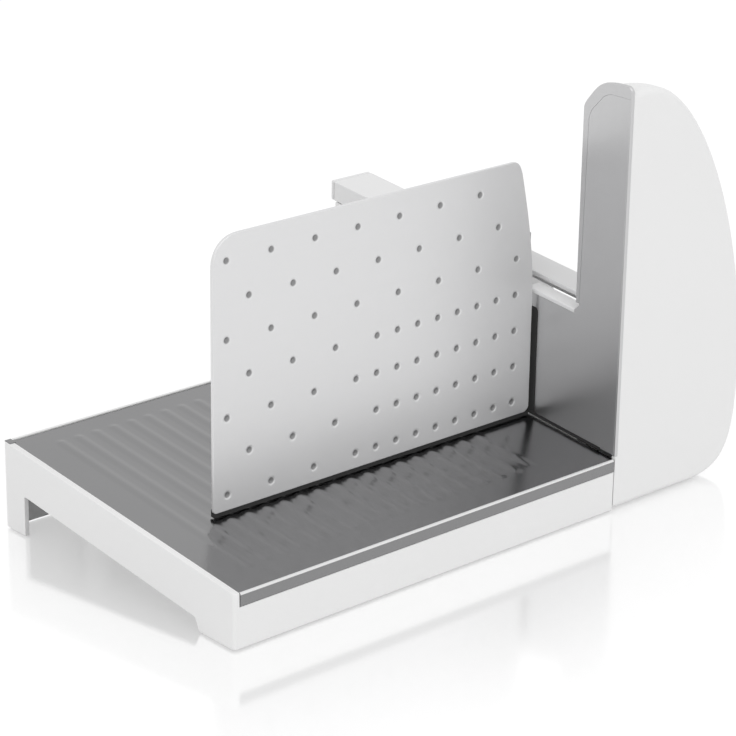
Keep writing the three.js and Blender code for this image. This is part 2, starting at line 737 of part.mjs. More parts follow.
const inletInset = 32;
const inlet = {
  x: housingRight - inletInset,
  z: 24,
  neck: 7,
  flange: 10,
  inside: 12,
  proud: 3,
  socket: 4,
  socketDepth: 9,
};
function inletSolid() {
  const { x, z, neck, flange, inside, proud, socket, socketDepth } = inlet;
  const back = wallBack + proud;
  const body = rod("y", x, z, flange, wallBack + gap, back, 20);
  const whole = body.add(rod("y", x, z, neck, wallBack - inside, back - proud / 2, 20));
  return whole.subtract(rod("y", x, z, socket, back - socketDepth, back + overrun, 16));
}

// Rail along the top of the low wall, which the carriage shoe runs on
const railBar = {
  inset: 13, // from the stop plate's plane
  farInset: 6,
  width: 21,
  webInset: 2,
  webThick: 5.6,
  capThick: 3,
  lipThick: 2.4,
};
const railRight = faceX + railBar.inset + railBar.width;
const rail = {
  ...railBar,
  left: faceX + railBar.inset,
  farLeft: faceX + railBar.farInset,
  farFront: housing.roofFront + gap,
  right: railRight,
  webLeft: railRight - railBar.webInset - railBar.webThick,
  webRight: railRight - railBar.webInset,
};

function railBeam() {
  const { left, farLeft, farFront, right, capThick, webLeft, webRight } = rail;
  const [from, to] = [towerDepth + gap, wallBack];
  const foot = wallRise - housing.roofDrop + gap;
  const cap = deckBox(left, right, from, to, wallRise - capThick, wallRise);
  const farCap = deckBox(farLeft, right, farFront, to, wallRise - capThick, wallRise);
  return cap.add(farCap).add(deckBox(webLeft, webRight, from, to, foot, wallRise - capThick / 2));
}

function railEndCap() {
  const foot = wallRise - housing.roofDrop + gap;
  return deckBox(rail.farLeft, rail.right, wallBack + gap, wallBack + gap + rail.lipThick, foot, wallRise);
}

piece("side_housing", sideHousing(), whitePlastic);
piece("side_cover", sideCover(), whitePlastic);
piece("bottom_cover", bottomCover(), darkPlastic);
piece("power_inlet", inletSolid(), darkPlastic);
piece("rail_beam", railBeam(), palePanel);
piece("rail_end_cap", railEndCap(), palePanel);

// Carriage: the dimpled wall, the bridge over the blade and the shoe on the rail
const plate = {
  rise: 2.7, // lower edge above the tray plane
  leftRadius: 18,
  rightRadius: 6,
  smallRadius: 4,
  topInset: 13, // how far the right edge leans in by the top
  leanDepth: 82, // from the top down to where it starts to lean
  cornerSteps: 4,
};
const dimple = {
  radius: 2.7,
  height: 1.2,
  topShare: 0.55,
  sides: 6,
  pitch: 29.8,
  rowPitch: 21.6,
  leftInset: 9.4, // from the sheet's left edge to the first one
  topInset: 14,
  rows: 7,
  denseRow: 3, // from this row down the right part has twice as many
  denseWidth: 118.4, // how far from the right edge they stand closer
};
const arm = {
  width: 82.4, // along the dimpled wall
  aboveRow: 8.8, // underside of the shelf, above the third row of dimples
  shelfThick: 4,
  flangeDrop: 5.8,
  thick: 3,
  legInset: 3,
  legWidth: 12,
  legBehind: 47, // from the dimpled wall
  reach: 75,
  bendInset: 10.4,
  ribInset: 18,
  screwInset: 15,
  screwPitch: 50,
};
const thirdRow = plateTop - dimple.topInset - 2 * dimple.rowPitch;
const shelfLow = thirdRow + arm.aboveRow - deck(plateFront + plateThick + gap);
const bridge = {
  ...arm,
  left: plateRight - arm.width,
  flangeLow: shelfLow - arm.flangeDrop,
  shelfLow,
  legLeft: rail.left + arm.legInset,
  legRight: rail.left + arm.legInset + arm.legWidth,
  legFront: plateFront + arm.legBehind,
  back: plateFront + arm.reach,
  bend: plateRight - arm.bendInset,
};
const shoe = { length: 24, inset: 1, clearance: 0.4, roof: 4, hookThick: 3.6, hookDrop: 8 };
shoe.left = bridge.legLeft;
shoe.right = rail.right + shoe.clearance + shoe.hookThick;
shoe.back = bridge.back - shoe.inset;
shoe.front = shoe.back - shoe.length;
const firstScrewX = bridge.left + bridge.screwInset;
const bridgeScrewX = [firstScrewX, firstScrewX + bridge.screwPitch];

function plateOutline() {
  const { leftRadius, rightRadius, smallRadius, topInset, leanDepth, cornerSteps } = plate;
  const low = deck(plateFront, plate.rise);
  const leanLow = plateTop - leanDepth;
  const points = [];
  const corner = (u, v, r, start) => {
    for (let i = 0; i <= cornerSteps; i++) {
      const angle = start + (i / cornerSteps) * (Math.PI / 2);
      points.push([u + r * Math.cos(angle), v + r * Math.sin(angle)]);
    }
  };
  corner(plateLeft + smallRadius / 2, low + smallRadius / 2, smallRadius / 2, Math.PI);
  corner(plateRight - smallRadius, low + smallRadius, smallRadius, -Math.PI / 2);
  for (let i = 0; i < cornerSteps; i++) {
    const share = i / cornerSteps;
    const z = leanLow + (leanDepth - rightRadius) * share;
    points.push([plateRight - topInset * share * share, z]);
  }
  corner(plateRight - topInset - rightRadius, plateTop - rightRadius, rightRadius, 0);
  corner(plateLeft + leftRadius, plateTop - leftRadius, leftRadius, Math.PI / 2);
  return points;
}

// Places of the dimples: rows shifted by half a pitch, denser at the lower right.
function dimpleSpots() {
  const spots = [];
  for (let row = 0; row < dimple.rows; row++) {
    const z = plateTop - dimple.topInset - row * dimple.rowPitch;
    const start = plateLeft + dimple.leftInset + (row % 2) * (dimple.pitch / 2);
    for (let x = start; x < plateRight - dimple.pitch / 4; x += dimple.pitch / 2) {
      const onPitch = Math.round((x - start) / (dimple.pitch / 2)) % 2 === 0;
      const leaning = row < 2 && x > plateRight - dimple.pitch / 2 - plate.topInset / 2;
      const dense = row >= dimple.denseRow && x > plateRight - dimple.denseWidth;
      if ((onPitch || dense) && !leaning) spots.push([x, z]);
    }
  }
  return spots;
}

function dimpledPlate() {
  const back = plateFront + plateThick;
  let sheet = prism("y", plateOutline(), plateFront, back);
  for (const [x, z] of dimpleSpots()) {
    const low = ring(x, z, dimple.radius, dimple.sides);
    const high = ring(x, z, dimple.radius * dimple.topShare, dimple.sides);
    sheet = sheet.add(loft("y", [[back - plateThick / 2, low], [back, low], [back + dimple.height, high]]));
  }
  for (const x of bridgeScrewX)
    sheet = sheet.subtract(screwHole("y", x, bridgeScrewZ, plateFront - overrun, back + overrun));
  return sheet;
}
const bridgeScrewZ = deck(plateFront, (bridge.flangeLow + bridge.shelfLow) / 2);
const shelfHigh = bridge.shelfLow + bridge.shelfThick;

function carriageBridge() {
  const front = plateFront + plateThick + gap;
  const { left, thick, legLeft, legRight, legFront, back, bend, ribInset } = bridge;
  const right = plateRight - 2 * gap;
  const shelf = [
    [left, front],
    [right, front],
    [right, legFront - gap],
    [legRight, legFront - gap],
    [legRight, back],
    [legLeft - thick, back],
    [bend, legFront + thick],
    [left, front + ribInset],
  ];
  let body = deckPrism("z", shelf, bridge.shelfLow, shelfHigh);
  body = body.add(deckBox(left, right, front, front + thick, bridge.flangeLow, shelfHigh - gap));
  const legLow = wallRise + shoe.clearance + shoe.roof + gap;
  body = body.add(deckBox(legLeft, legRight, legFront + thick, back, legLow, bridge.shelfLow + gap));
  for (const x of bridgeScrewX)
    body = body.subtract(screwHole("y", x, bridgeScrewZ, front - overrun, front + thick + overrun));
  return body;
}

function carriageShoe() {
  const { front, back, clearance, roof, left, right, hookDrop } = shoe;
  const low = wallRise + clearance;
  const top = deckBox(left, right, front, back, low, low + roof);
  return top.add(deckBox(rail.right + clearance, right, front, back, wallRise - hookDrop, low + roof / 2));
}

piece("dimpled_plate", dimpledPlate(), palePanel);
piece("carriage_bridge", carriageBridge(), greyPanel);
piece("carriage_shoe", carriageShoe(), darkPlastic);
bridgeScrewX.forEach((x, i) => {
  const headAt = plateFront + plateThick + gap + bridge.thick + gap;
  piece(`bridge_screw_${i + 1}`, screwSolid("y", x, bridgeScrewZ, headAt, plateFront + gap), steel);
});

// Blade, its shaft and the worm drive
const bladeLead = 0.7; // how far the blade stands out of the stop plate's plane
const blade = { thick: 1.6, left: faceX - bladeLead, edge: 0.5, grind: 7, bore: 5 };
const hubLength = 5.1;
const hubLeft = blade.left + blade.thick + gap;
const hub = { radius: 11, left: hubLeft, right: hubLeft + hubLength };
const capSize = { radius: 15, thick: 1.1, stud: 3.2 };
capSize.left = blade.left - capSize.thick - gap;
const wheelWidth = 6;
const wheelMiddle = 31; // from the stop plate's plane
const wheel = { left: faceX + wheelMiddle - wheelWidth / 2, right: faceX + wheelMiddle + wheelWidth / 2 };
const axleEnd = 6.2;
const axle = { radius: 4, right: wheel.right + axleEnd };
const caseRoom = { back: 26, low: 37.5, right: 8, roof: 0.9, topCorner: 12, footCorner: 4 };
const caseFront = housing.roofFront + shellWall + gap;
const roofInside = wallRise - housing.roofDrop - shellWall;
const gearCase = {
  ...caseRoom,
  front: caseFront,
  back: bladeY + caseRoom.back,
  low: bladeZ - caseRoom.low,
  high: deck(caseFront + caseRoom.topCorner, roofInside) - caseRoom.roof,
  left: hub.right + gap,
  right: wheel.right + caseRoom.right,
  wall: 3,
};
const worm = { x: faceX + wheelMiddle, mean: 6, swing: 0.85, length: 26, sides: 12, shaft: 3, nose: 7 };
worm.front = bladeY - worm.length / 2;
const bush = { wall: 4, length: 10, nose: 4.5 };
const wormZ = bladeZ - wheelRadius - worm.mean;

function bladeSolid() {
  const { thick, left, edge, grind, bore } = blade;
  const profile = [
    [bore, left],
    [bladeRadius, left],
    [bladeRadius, left + edge],
    [bladeRadius - grind, left + thick],
    [bore, left + thick],
    [bore, left],
  ];
  const disc = new THREE.LatheGeometry(profile.reverse().map(([r, h]) => new THREE.Vector2(r, -h)), 64);
  return solid(disc.rotateZ(Math.PI / 2).translate(0, bladeY, bladeZ));
}

function caseOutline(inset) {
  const { front, back, low, high, topCorner, footCorner } = gearCase;
  const [y0, y1, z0, z1] = [front + inset, back - inset, low + inset, high - inset];
  return [
    [y0 + footCorner, z0],
    [y1, z0],
    [y1, z1 - topCorner],
    [y1 - topCorner, z1],
    [y0 + topCorner, z1],
    [y0, z1 - topCorner],
    [y0, z0 + footCorner],
  ];
}

function caseHalf(from, to, wallFrom, wallTo) {
  const { wall } = gearCase;
  const room = prism("x", caseOutline(wall), wallFrom, wallTo);
  const half = prism("x", caseOutline(0), from, to).subtract(room);
  const [holeFront, holeBack] = [gearCase.back - 2 * wall, gearCase.back + overrun];
  return half.subtract(rod("y", worm.x, wormZ, worm.shaft + gap, holeFront, holeBack));
}

function gearCaseFront() {
  const { left, wall } = gearCase;
  const to = worm.x - gap / 2;
  const half = caseHalf(left, to, left + wall, to + overrun);
  const bore = axle.radius + bush.wall + gap;
  const collar = rod("x", bladeY, bladeZ, bore + wall, left, left + bush.length + wall);
  return half.add(collar).subtract(rod("x", bladeY, bladeZ, bore, left - overrun, to));
}

function gearCaseBack() {
  const { right, wall } = gearCase;
  const from = worm.x + gap / 2;
  const half = caseHalf(from, right, from - overrun, right - wall);
  return half.subtract(rod("x", bladeY, bladeZ, axle.radius + gap, from, right - wall / 2));
}

// The worm's thread is one wavy cross-section that turns once for each lead along the shaft.
function wormShaft() {
  const { x, mean, swing, front, length, sides, shaft, nose } = worm;
  const lead = wormStarts * toothPitch;
  const steps = Math.round((length / lead) * sides);
  const levels = [];
  for (let step = 0; step <= steps; step++) {
    const y = front + (length * step) / steps;
    const phase = (2 * Math.PI * (y - bladeY)) / lead;
    const outline = Array.from({ length: 2 * sides }, (_, i) => {
      const angle = (Math.PI * i) / sides;
      const r = mean + swing * Math.cos(wormStarts * (angle - Math.PI / 2 - phase) + Math.PI);
      return [x + r * Math.cos(angle), wormZ + r * Math.sin(angle)];
    });
    levels.push([y, outline]);
  }
  return loft("y", levels).add(rod("y", x, wormZ, shaft, front - nose, fan.back + fan.tail, 16));
}

function wormBush() {
  const from = gearCase.front + gearCase.wall + gap;
  const [inner, outer] = [worm.shaft + gap / 3, worm.shaft + shellWall / 2];
  return tube("y", worm.x, wormZ, inner, outer, from, from + bush.nose, 16);
}

function wormWheel() {
  const outline = gearOutline(bladeY, bladeZ, wheelTeeth, wheelRadius, -Math.PI / 2, wheelTooth);
  const body = prism("x", outline, wheel.left, wheel.right);
  const [from, to] = [wheel.left - overrun, wheel.right + overrun];
  return body.subtract(rod("x", bladeY, bladeZ, axle.radius + gap / 3, from, to, 16));
}

const bracket = { front: gearCase.back + gap, thick: 3, halfWidth: 22 };
const fan = {
  wallRoom: 3.4, // to the housing's back wall
  lidRoom: 2.6, // to the motor
  width: 6.4,
  tail: 2,
  hub: 6,
  radius: 19,
  blades: 7,
  vaneThick: 2.2,
};
fan.back = wallBack - shellWall - fan.wallRoom;
fan.front = fan.back - fan.width;
const motor = { radius: 22.6, wall: 1.6, lid: 4, bearing: 2.8, rotor: 17, rotorInset: 7 };
motor.front = bracket.front + bracket.thick + gap;
motor.back = fan.front - fan.lidRoom - motor.lid;

function motorCan() {
  const { radius, wall, front, back, bearing } = motor;
  const can = rod("y", worm.x, wormZ, radius, front, back, 28);
  const room = rod("y", worm.x, wormZ, radius - wall, front + wall, back + overrun, 28);
  return can.subtract(room).subtract(rod("y", worm.x, wormZ, bearing + 2 * gap, front - overrun, back, 16));
}

function motorEndCap() {
  const { radius, back, lid } = motor;
  const end = back + lid;
  const disc = rod("y", worm.x, wormZ, radius, back + gap, end, 28);
  return disc.subtract(rod("y", worm.x, wormZ, worm.shaft + gap / 3, back - overrun, end + overrun, 16));
}

function motorRotor() {
  const { front, back, rotor, rotorInset } = motor;
  return tube("y", worm.x, wormZ, worm.shaft + gap / 3, rotor, front + rotorInset, back - rotorInset, 20);
}

function motorBracket() {
  const { front, thick, halfWidth } = bracket;
  const back = front + thick;
  const [left, right] = [worm.x - halfWidth, worm.x + halfWidth];
  const sheet = box(left, right, front, back, wormZ - halfWidth, wormZ + halfWidth);
  return sheet.subtract(rod("y", worm.x, wormZ, worm.shaft + gap, front - overrun, back + overrun, 16));
}

function coolingFan() {
  const { front, back, hub: core, radius, blades, vaneThick } = fan;
  let body = rod("y", worm.x, wormZ, core, front, back, 16);
  for (let i = 0; i < blades; i++) {
    const angle = (2 * Math.PI * i) / blades;
    const [c, s] = [Math.cos(angle), Math.sin(angle)];
    const half = vaneThick / 2;
    const at = (r, side) => [worm.x + r * c - side * half * s, wormZ + r * s + side * half * c];
    const vane = [at(core - shellWall, -1), at(radius, -1), at(radius, 1), at(core - shellWall, 1)];
    body = body.add(prism("y", vane, front, back));
  }
  return body.subtract(rod("y", worm.x, wormZ, worm.shaft + gap / 3, front - overrun, back + overrun, 16));
}

function bladeHub() {
  return tube("x", bladeY, bladeZ, axle.radius + gap / 3, hub.radius, hub.left, hub.right, 24);
}

function bladeCap() {
  const { radius, left, thick, stud } = capSize;
  const head = rod("x", bladeY, bladeZ, radius, left, left + thick, 24);
  return head.add(rod("x", bladeY, bladeZ, stud, left, hub.left - gap, 16));
}

piece("blade", bladeSolid(), steel);
piece("blade_hub", bladeHub(), nylon);
piece("blade_cap", bladeCap(), steel);
piece("blade_axle", rod("x", bladeY, bladeZ, axle.radius, hub.left, axle.right, 16), steel);
piece("worm_wheel", wormWheel(), nylon);
const bushOuter = axle.radius + bush.wall;
piece("axle_bush", tube("x", bladeY, bladeZ, axle.radius + gap / 3, bushOuter, hub.right + gap,
  hub.right + gap + bush.length), brass);
piece("gear_case_front", gearCaseFront(), darkPlastic);
piece("gear_case_back", gearCaseBack(), darkPlastic);
piece("worm_shaft", wormShaft(), steel);
piece("worm_bush", wormBush(), brass);
piece("motor_bracket", motorBracket(), steel);
piece("motor_can", motorCan(), steel);
piece("motor_end_cap", motorEndCap(), darkPlastic);
piece("motor_rotor", motorRotor(), copper);
piece("cooling_fan", coolingFan(), darkPlastic);

// The part's own origin is the middle of its footprint, on the table.
slicer.position.set(-(faceX + towerWidth) / 2, -(wallBack + inlet.proud) / 2, 0);

export default slicer;
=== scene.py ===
import json
import math

import bmesh
import bpy
from mathutils import Matrix, Vector


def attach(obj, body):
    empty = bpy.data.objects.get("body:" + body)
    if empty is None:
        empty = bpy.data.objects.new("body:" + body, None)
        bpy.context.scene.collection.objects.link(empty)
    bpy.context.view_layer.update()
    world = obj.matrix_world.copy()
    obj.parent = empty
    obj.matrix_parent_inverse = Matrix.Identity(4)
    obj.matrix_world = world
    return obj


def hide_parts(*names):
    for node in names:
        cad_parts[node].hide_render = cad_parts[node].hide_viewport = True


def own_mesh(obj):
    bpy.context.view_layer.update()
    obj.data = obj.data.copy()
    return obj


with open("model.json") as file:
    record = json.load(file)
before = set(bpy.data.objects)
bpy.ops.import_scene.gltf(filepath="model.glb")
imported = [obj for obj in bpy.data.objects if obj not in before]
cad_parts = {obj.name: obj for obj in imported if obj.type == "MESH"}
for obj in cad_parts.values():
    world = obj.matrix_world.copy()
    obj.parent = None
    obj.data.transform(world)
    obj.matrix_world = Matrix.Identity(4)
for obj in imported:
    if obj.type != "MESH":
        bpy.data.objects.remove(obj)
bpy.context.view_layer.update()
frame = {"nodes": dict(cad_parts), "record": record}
print("frame loaded,", len(frame["nodes"]), "nodes")

# Sizes are in millimetres, measured from the base's front left corner on the table.
mm = 0.001
tableCorner = Vector((-0.189, -0.125, 0.0))
faceX = 275.0  # plane of the stop plate and the blade
deckFront = 32.2
deckSlope = 19.8 / 201


def deckAt(y, rise=0.0):
    return deckFront + deckSlope * y + rise


def spot(x, y, z):
    return tableCorner + Vector((x, y, z)) * mm


def camelName(node):
    first, *others = node.split("_")
    return first + "".join(word.capitalize() for word in others)


# Camera at the photograph's view, with its focal length and centre in pixels
view = {"place": (-774.18, -962.59, 623.97), "yaw": 0.7281, "pitch": 0.3546, "roll": 0.0135,
        "focal": 2730.23, "centre": (362.87, 343.33), "side": 736, "sensor": 36, "clipEnd": 20}


def addCamera():
    yaw, pitch, roll = view["yaw"], view["pitch"], view["roll"]
    level = math.cos(pitch)
    ahead = Vector((math.sin(yaw) * level, math.cos(yaw) * level, -math.sin(pitch)))
    right = Vector((math.cos(yaw), -math.sin(yaw), 0))
    up = right.cross(ahead)
    across = right * math.cos(roll) + up * math.sin(roll)
    above = up * math.cos(roll) - right * math.sin(roll)
    turned = Matrix((across, above, -ahead)).transposed()
    bpy.ops.object.camera_add(location=spot(*view["place"]), rotation=turned.to_euler())
    camera = bpy.context.object
    camera.name = "photoCamera"
    side = view["side"]
    camera.data.sensor_width = view["sensor"]
    camera.data.lens = view["sensor"] * view["focal"] / side
    camera.data.shift_x = (side / 2 - view["centre"][0]) / side
    camera.data.shift_y = (view["centre"][1] - side / 2) / side
    camera.data.clip_end = view["clipEnd"]
    bpy.context.scene.camera = camera


addCamera()


# What a hand does in the window
def done():
    bpy.ops.object.mode_set(mode="OBJECT")


def makeActive(*pieces):
    if bpy.context.object and bpy.context.object.mode != "OBJECT":
        done()
    bpy.ops.object.select_all(action="DESELECT")
    for piece in pieces:
        piece.select_set(True)
    bpy.context.view_layer.objects.active = pieces[0]


def settle(piece):
    makeActive(piece)
    bpy.ops.object.transform_apply(location=True, rotation=True, scale=True)


def editAll(piece):
    makeActive(piece)
    bpy.ops.object.mode_set(mode="EDIT")
    bpy.ops.mesh.select_all(action="SELECT")


def pick(piece, kind, test):
    editAll(piece)
    bpy.ops.mesh.select_mode(type=kind)
    bpy.ops.mesh.select_all(action="DESELECT")
    mesh = bmesh.from_edit_mesh(piece.data)
    items = {"FACE": mesh.faces, "EDGE": mesh.edges, "VERT": mesh.verts}[kind]
    chosen = [item for item in items if test(item)]
    for item in chosen:
        item.select_set(True)
    mesh.select_flush_mode()
    bmesh.update_edit_mesh(piece.data)
    return len(chosen)


def middleOf(item):
    if hasattr(item, "calc_center_median"):
        place = item.calc_center_median()
    elif hasattr(item, "verts"):
        place = (item.verts[0].co + item.verts[1].co) / 2
    else:
        place = item.co
    return (place - tableCorner) / mm


def runsAlong(edge, axis):
    way = (edge.verts[1].co - edge.verts[0].co).normalized()
    return abs(way[axis]) > 0.99


def near(value, target, slack=0.05):
    return abs(value - target) < slack


def applyModifier(piece, kind, **settings):
    makeActive(piece)
    added = piece.modifiers.new(kind.lower(), kind)
    for key, value in settings.items():
        setattr(added, key, value)
    bpy.ops.object.modifier_apply(modifier=added.name)


def extrudeEdges(*shift):
    bpy.ops.mesh.extrude_edges_move(TRANSFORM_OT_translate={"value": [part * mm for part in shift]})


def bisectAll(place, normal, **clear):
    bpy.ops.mesh.select_all(action="SELECT")
    bpy.ops.mesh.bisect(plane_co=spot(*place), plane_no=normal, **clear)


def pointOutwards():
    bpy.ops.mesh.select_all(action="SELECT")
    bpy.ops.mesh.normals_make_consistent(inside=False)
    done()


def addBlock(name, low, high):
    middle = [(a + b) / 2 for a, b in zip(low, high)]
    size = [(b - a) * mm for a, b in zip(low, high)]
    bpy.ops.mesh.primitive_cube_add(size=1, location=spot(*middle), scale=size)
    block = bpy.context.object
    block.name = name
    settle(block)
    return block


def addBlocks(sizes, *names):
    return [addBlock(name, *sizes[name]) for name in names]


# A place so far along an axis, with its two other coordinates
def onAxis(axis, across, along):
    place = list(across)
    place.insert("xyz".index(axis), along)
    return spot(*place)


rodTurns = {"x": (0, math.pi / 2, 0), "y": (math.pi / 2, 0, 0), "z": (0, 0, 0)}


def addRod(name, axis, across, start, end, radius, sides):
    bpy.ops.mesh.primitive_cylinder_add(
        vertices=sides, radius=radius * mm, depth=(end - start) * mm, rotation=rodTurns[axis],
        location=onAxis(axis, across, (start + end) / 2))
    rod = bpy.context.object
    rod.name = name
    settle(rod)
    return rod


# Screw holes, unless another radius is given
def addHoles(axis, spots, start, end, radius=2.1, sides=24):
    return [addRod("hole", axis, across, start, end, radius, sides) for across in spots]


# An outline drawn as a curve and pushed along an axis. A corner is (across, up), or has the two
# handles that bend the outline there as third and fourth values.
def drawOutline(name, axis, corners, start, end, steps=10):
    bpy.ops.curve.primitive_bezier_curve_add(location=(0, 0, 0))
    drawn = bpy.context.object
    drawn.name = name
    drawn.data.dimensions = "3D"
    drawn.data.resolution_u = steps
    drawn.data.splines.clear()
    line = drawn.data.splines.new("BEZIER")
    line.bezier_points.add(len(corners) - 1)
    line.use_cyclic_u = True
    for point, corner in zip(line.bezier_points, corners):
        before, after = corner[2:] or (None, None)
        point.co = onAxis(axis, corner[:2], start)
        point.handle_left_type = "FREE" if before else "VECTOR"
        point.handle_right_type = "FREE" if after else "VECTOR"
        if before:
            point.handle_left = onAxis(axis, before, start)
        if after:
            point.handle_right = onAxis(axis, after, start)
    bpy.ops.object.convert(target="MESH")
    editAll(drawn)
    bpy.ops.mesh.remove_doubles(threshold=0.00001)
    bpy.ops.mesh.edge_face_add()
    push = [0, 0, 0]
    push["xyz".index(axis)] = (end - start) * mm
    bpy.ops.mesh.extrude_region_move(TRANSFORM_OT_translate={"value": push})
    pointOutwards()
    return bpy.context.object


# A profile of (radius, height) turned round an axis
def turnProfile(name, axis, centre, profile, steps):
    bpy.ops.mesh.primitive_plane_add(size=1, location=(0, 0, 0))
    turned = bpy.context.object
    turned.name = name
    editAll(turned)
    bpy.ops.mesh.delete(type="VERT")
    mesh = bmesh.from_edit_mesh(turned.data)
    points = [mesh.verts.new((radius * mm, 0, height * mm)) for radius, height in profile]
    for first, second in zip(points, points[1:]):
        mesh.edges.new((first, second))
    bmesh.update_edit_mesh(turned.data)
    bpy.ops.mesh.select_all(action="SELECT")
    bpy.ops.mesh.spin(steps=steps, angle=2 * math.pi, center=(0, 0, 0), axis=(0, 0, 1))
    bpy.ops.mesh.select_all(action="SELECT")
    bpy.ops.mesh.remove_doubles(threshold=0.000005)
    pointOutwards()
    turned.rotation_euler = {"x": (0, math.pi / 2, 0), "y": (-math.pi / 2, 0, 0), "z": (0, 0, 0)}[axis]
    turned.location = spot(*centre)
    settle(turned)
    return turned


def combine(piece, operation, others):
    for other in others:
        applyModifier(piece, "BOOLEAN", operation=operation, solver="EXACT", object=other)
        bpy.data.objects.remove(other)


def cutWith(piece, *cutters):
    combine(piece, "DIFFERENCE", cutters)


def joinWith(piece, *others):
    combine(piece, "UNION", others)


def gather(name, copies):
    makeActive(*copies)
    bpy.ops.object.join()
    copies[0].name = name
    return copies[0]


def copyTo(piece, shift):
    makeActive(piece)
    bpy.ops.object.duplicate(linked=False)
    double = bpy.context.object
    double.location = Vector(shift) * mm
    settle(double)
    return double


def turnAbout(piece, x, z, degrees):
    centre = Matrix.Translation(spot(x, 0, z))
    piece.matrix_world = centre @ Matrix.Rotation(math.radians(degrees), 4, "Y") @ centre.inverted()
    settle(piece)


def soften(piece, width, steps, angle=40):
    applyModifier(piece, "BEVEL", width=width * mm, segments=steps, limit_method="ANGLE",
                  angle_limit=math.radians(angle), miter_outer="MITER_ARC")


# Rounds the edges along an axis, or in any direction for None, whose middle passes the test
def roundEdges(piece, axis, width, steps, where=lambda middle: True):
    pick(piece, "EDGE", lambda e: (axis is None or runsAlong(e, axis)) and where(middleOf(e)))
    bpy.ops.mesh.bevel(offset=width * mm, offset_type="OFFSET", segments=steps, affect="EDGES",
                       profile=0.5)
    done()


# Stands pieces drawn on a level tray on the sloping one
def tiltOnDeck(*pieces):
    slope = Matrix(((1, 0, 0, 0), (0, 1, 0, 0), (0, deckSlope, 1, deckFront * mm), (0, 0, 0, 1)))
    for piece in pieces:
        makeActive(piece)
        for step in (Matrix.Translation(-tableCorner), slope, Matrix.Translation(tableCorner)):
            piece.data.transform(step)


# Materials
def feed(tree, node, values):
    for key, value in values.items():
        if isinstance(value, bpy.types.NodeSocket):
            tree.links.new(value, node.inputs[key])
        else:
            node.inputs[key].default_value = value


def addNode(tree, kind, values=None, **settings):
    node = tree.nodes.new("ShaderNode" + kind)
    for key, value in settings.items():
        setattr(node, key, value)
    feed(tree, node, values or {})
    return node.outputs


def addMath(tree, operation, *values):
    return addNode(tree, "Math", dict(enumerate(values)), operation=operation)[0]


def newMaterial(name):
    material = bpy.data.materials.new(name)
    material.use_nodes = True
    return material, material.node_tree, material.node_tree.nodes["Principled BSDF"]


def newGroup(name, starts, results):
    tree = bpy.data.node_groups.new(name, "ShaderNodeTree")
    for label, start in starts.items():
        kind = "NodeSocketVector" if isinstance(start, tuple) else "NodeSocketFloat"
        tree.interface.new_socket(label, in_out="INPUT", socket_type=kind).default_value = start
    for label in results:
        tree.interface.new_socket(label, in_out="OUTPUT", socket_type="NodeSocketFloat")
    return tree, tree.nodes.new("NodeGroupInput").outputs, tree.nodes.new("NodeGroupOutput")


# Fine relief of a moulded or a brushed surface, and broad smudges that swing its roughness
def grainGroup(name, size, starts, broadScale):
    tree, given, result = newGroup(name, {size: starts[0], "Roughness": starts[1], "Swing": starts[2]},
                                   ("Roughness", "Height", "Smudge"))
    place = addNode(tree, "TexCoord")["Object"]
    broad = addNode(tree, "TexNoise", {"Vector": place, "Scale": broadScale, "Detail": 4})["Fac"]
    if size == "Stretch":
        drawn = addNode(tree, "VectorMath", {0: place, 1: given[size]}, operation="MULTIPLY")["Vector"]
        fine = addNode(tree, "TexNoise", {"Vector": drawn, "Scale": 1, "Detail": 2})["Fac"]
        centred = addMath(tree, "SUBTRACT", addMath(tree, "ADD", fine, broad), 1)
    else:
        fine = addNode(tree, "TexNoise", {"Vector": place, "Scale": given[size], "Detail": 3})["Fac"]
        centred = addMath(tree, "SUBTRACT", broad, 0.5)
    swung = addMath(tree, "MULTIPLY_ADD", centred, given["Swing"], given["Roughness"])
    feed(tree, result, {"Roughness": swung, "Height": fine, "Smudge": broad})
    return tree


# Mask for painted shade: 1 deep inside a pressed mark of a sheet that faces the user, 0 on its flat face
# and behind it
def recessShadeGroup():
    tree, given, result = newGroup("recessShade", {"Start": 0.0, "End": 0.001}, ("Mask",))
    place = addNode(tree, "TexCoord")
    depth = addNode(tree, "SeparateXYZ", {0: place["Object"]})["Y"]
    span = {"Value": depth, "From Min": given["Start"], "From Max": given["End"]}
    deep = addNode(tree, "MapRange", span, interpolation_type="SMOOTHSTEP")[0]
    facing = addNode(tree, "SeparateXYZ", {0: place["Normal"]})["Y"]
    front = addNode(tree, "MapRange", {"Value": facing, "From Min": -0.25, "From Max": -0.55})[0]
    feed(tree, result, {"Mask": addMath(tree, "MULTIPLY", deep, front)})
    return tree


recessShade = recessShadeGroup()
mouldedGrain = grainGroup("mouldedGrain", "Scale", (900.0, 0.35, 0.08), 14)
brushedGrain = grainGroup("brushedGrain", "Stretch", ((6, 900, 900), 0.3, 0.1), 18)

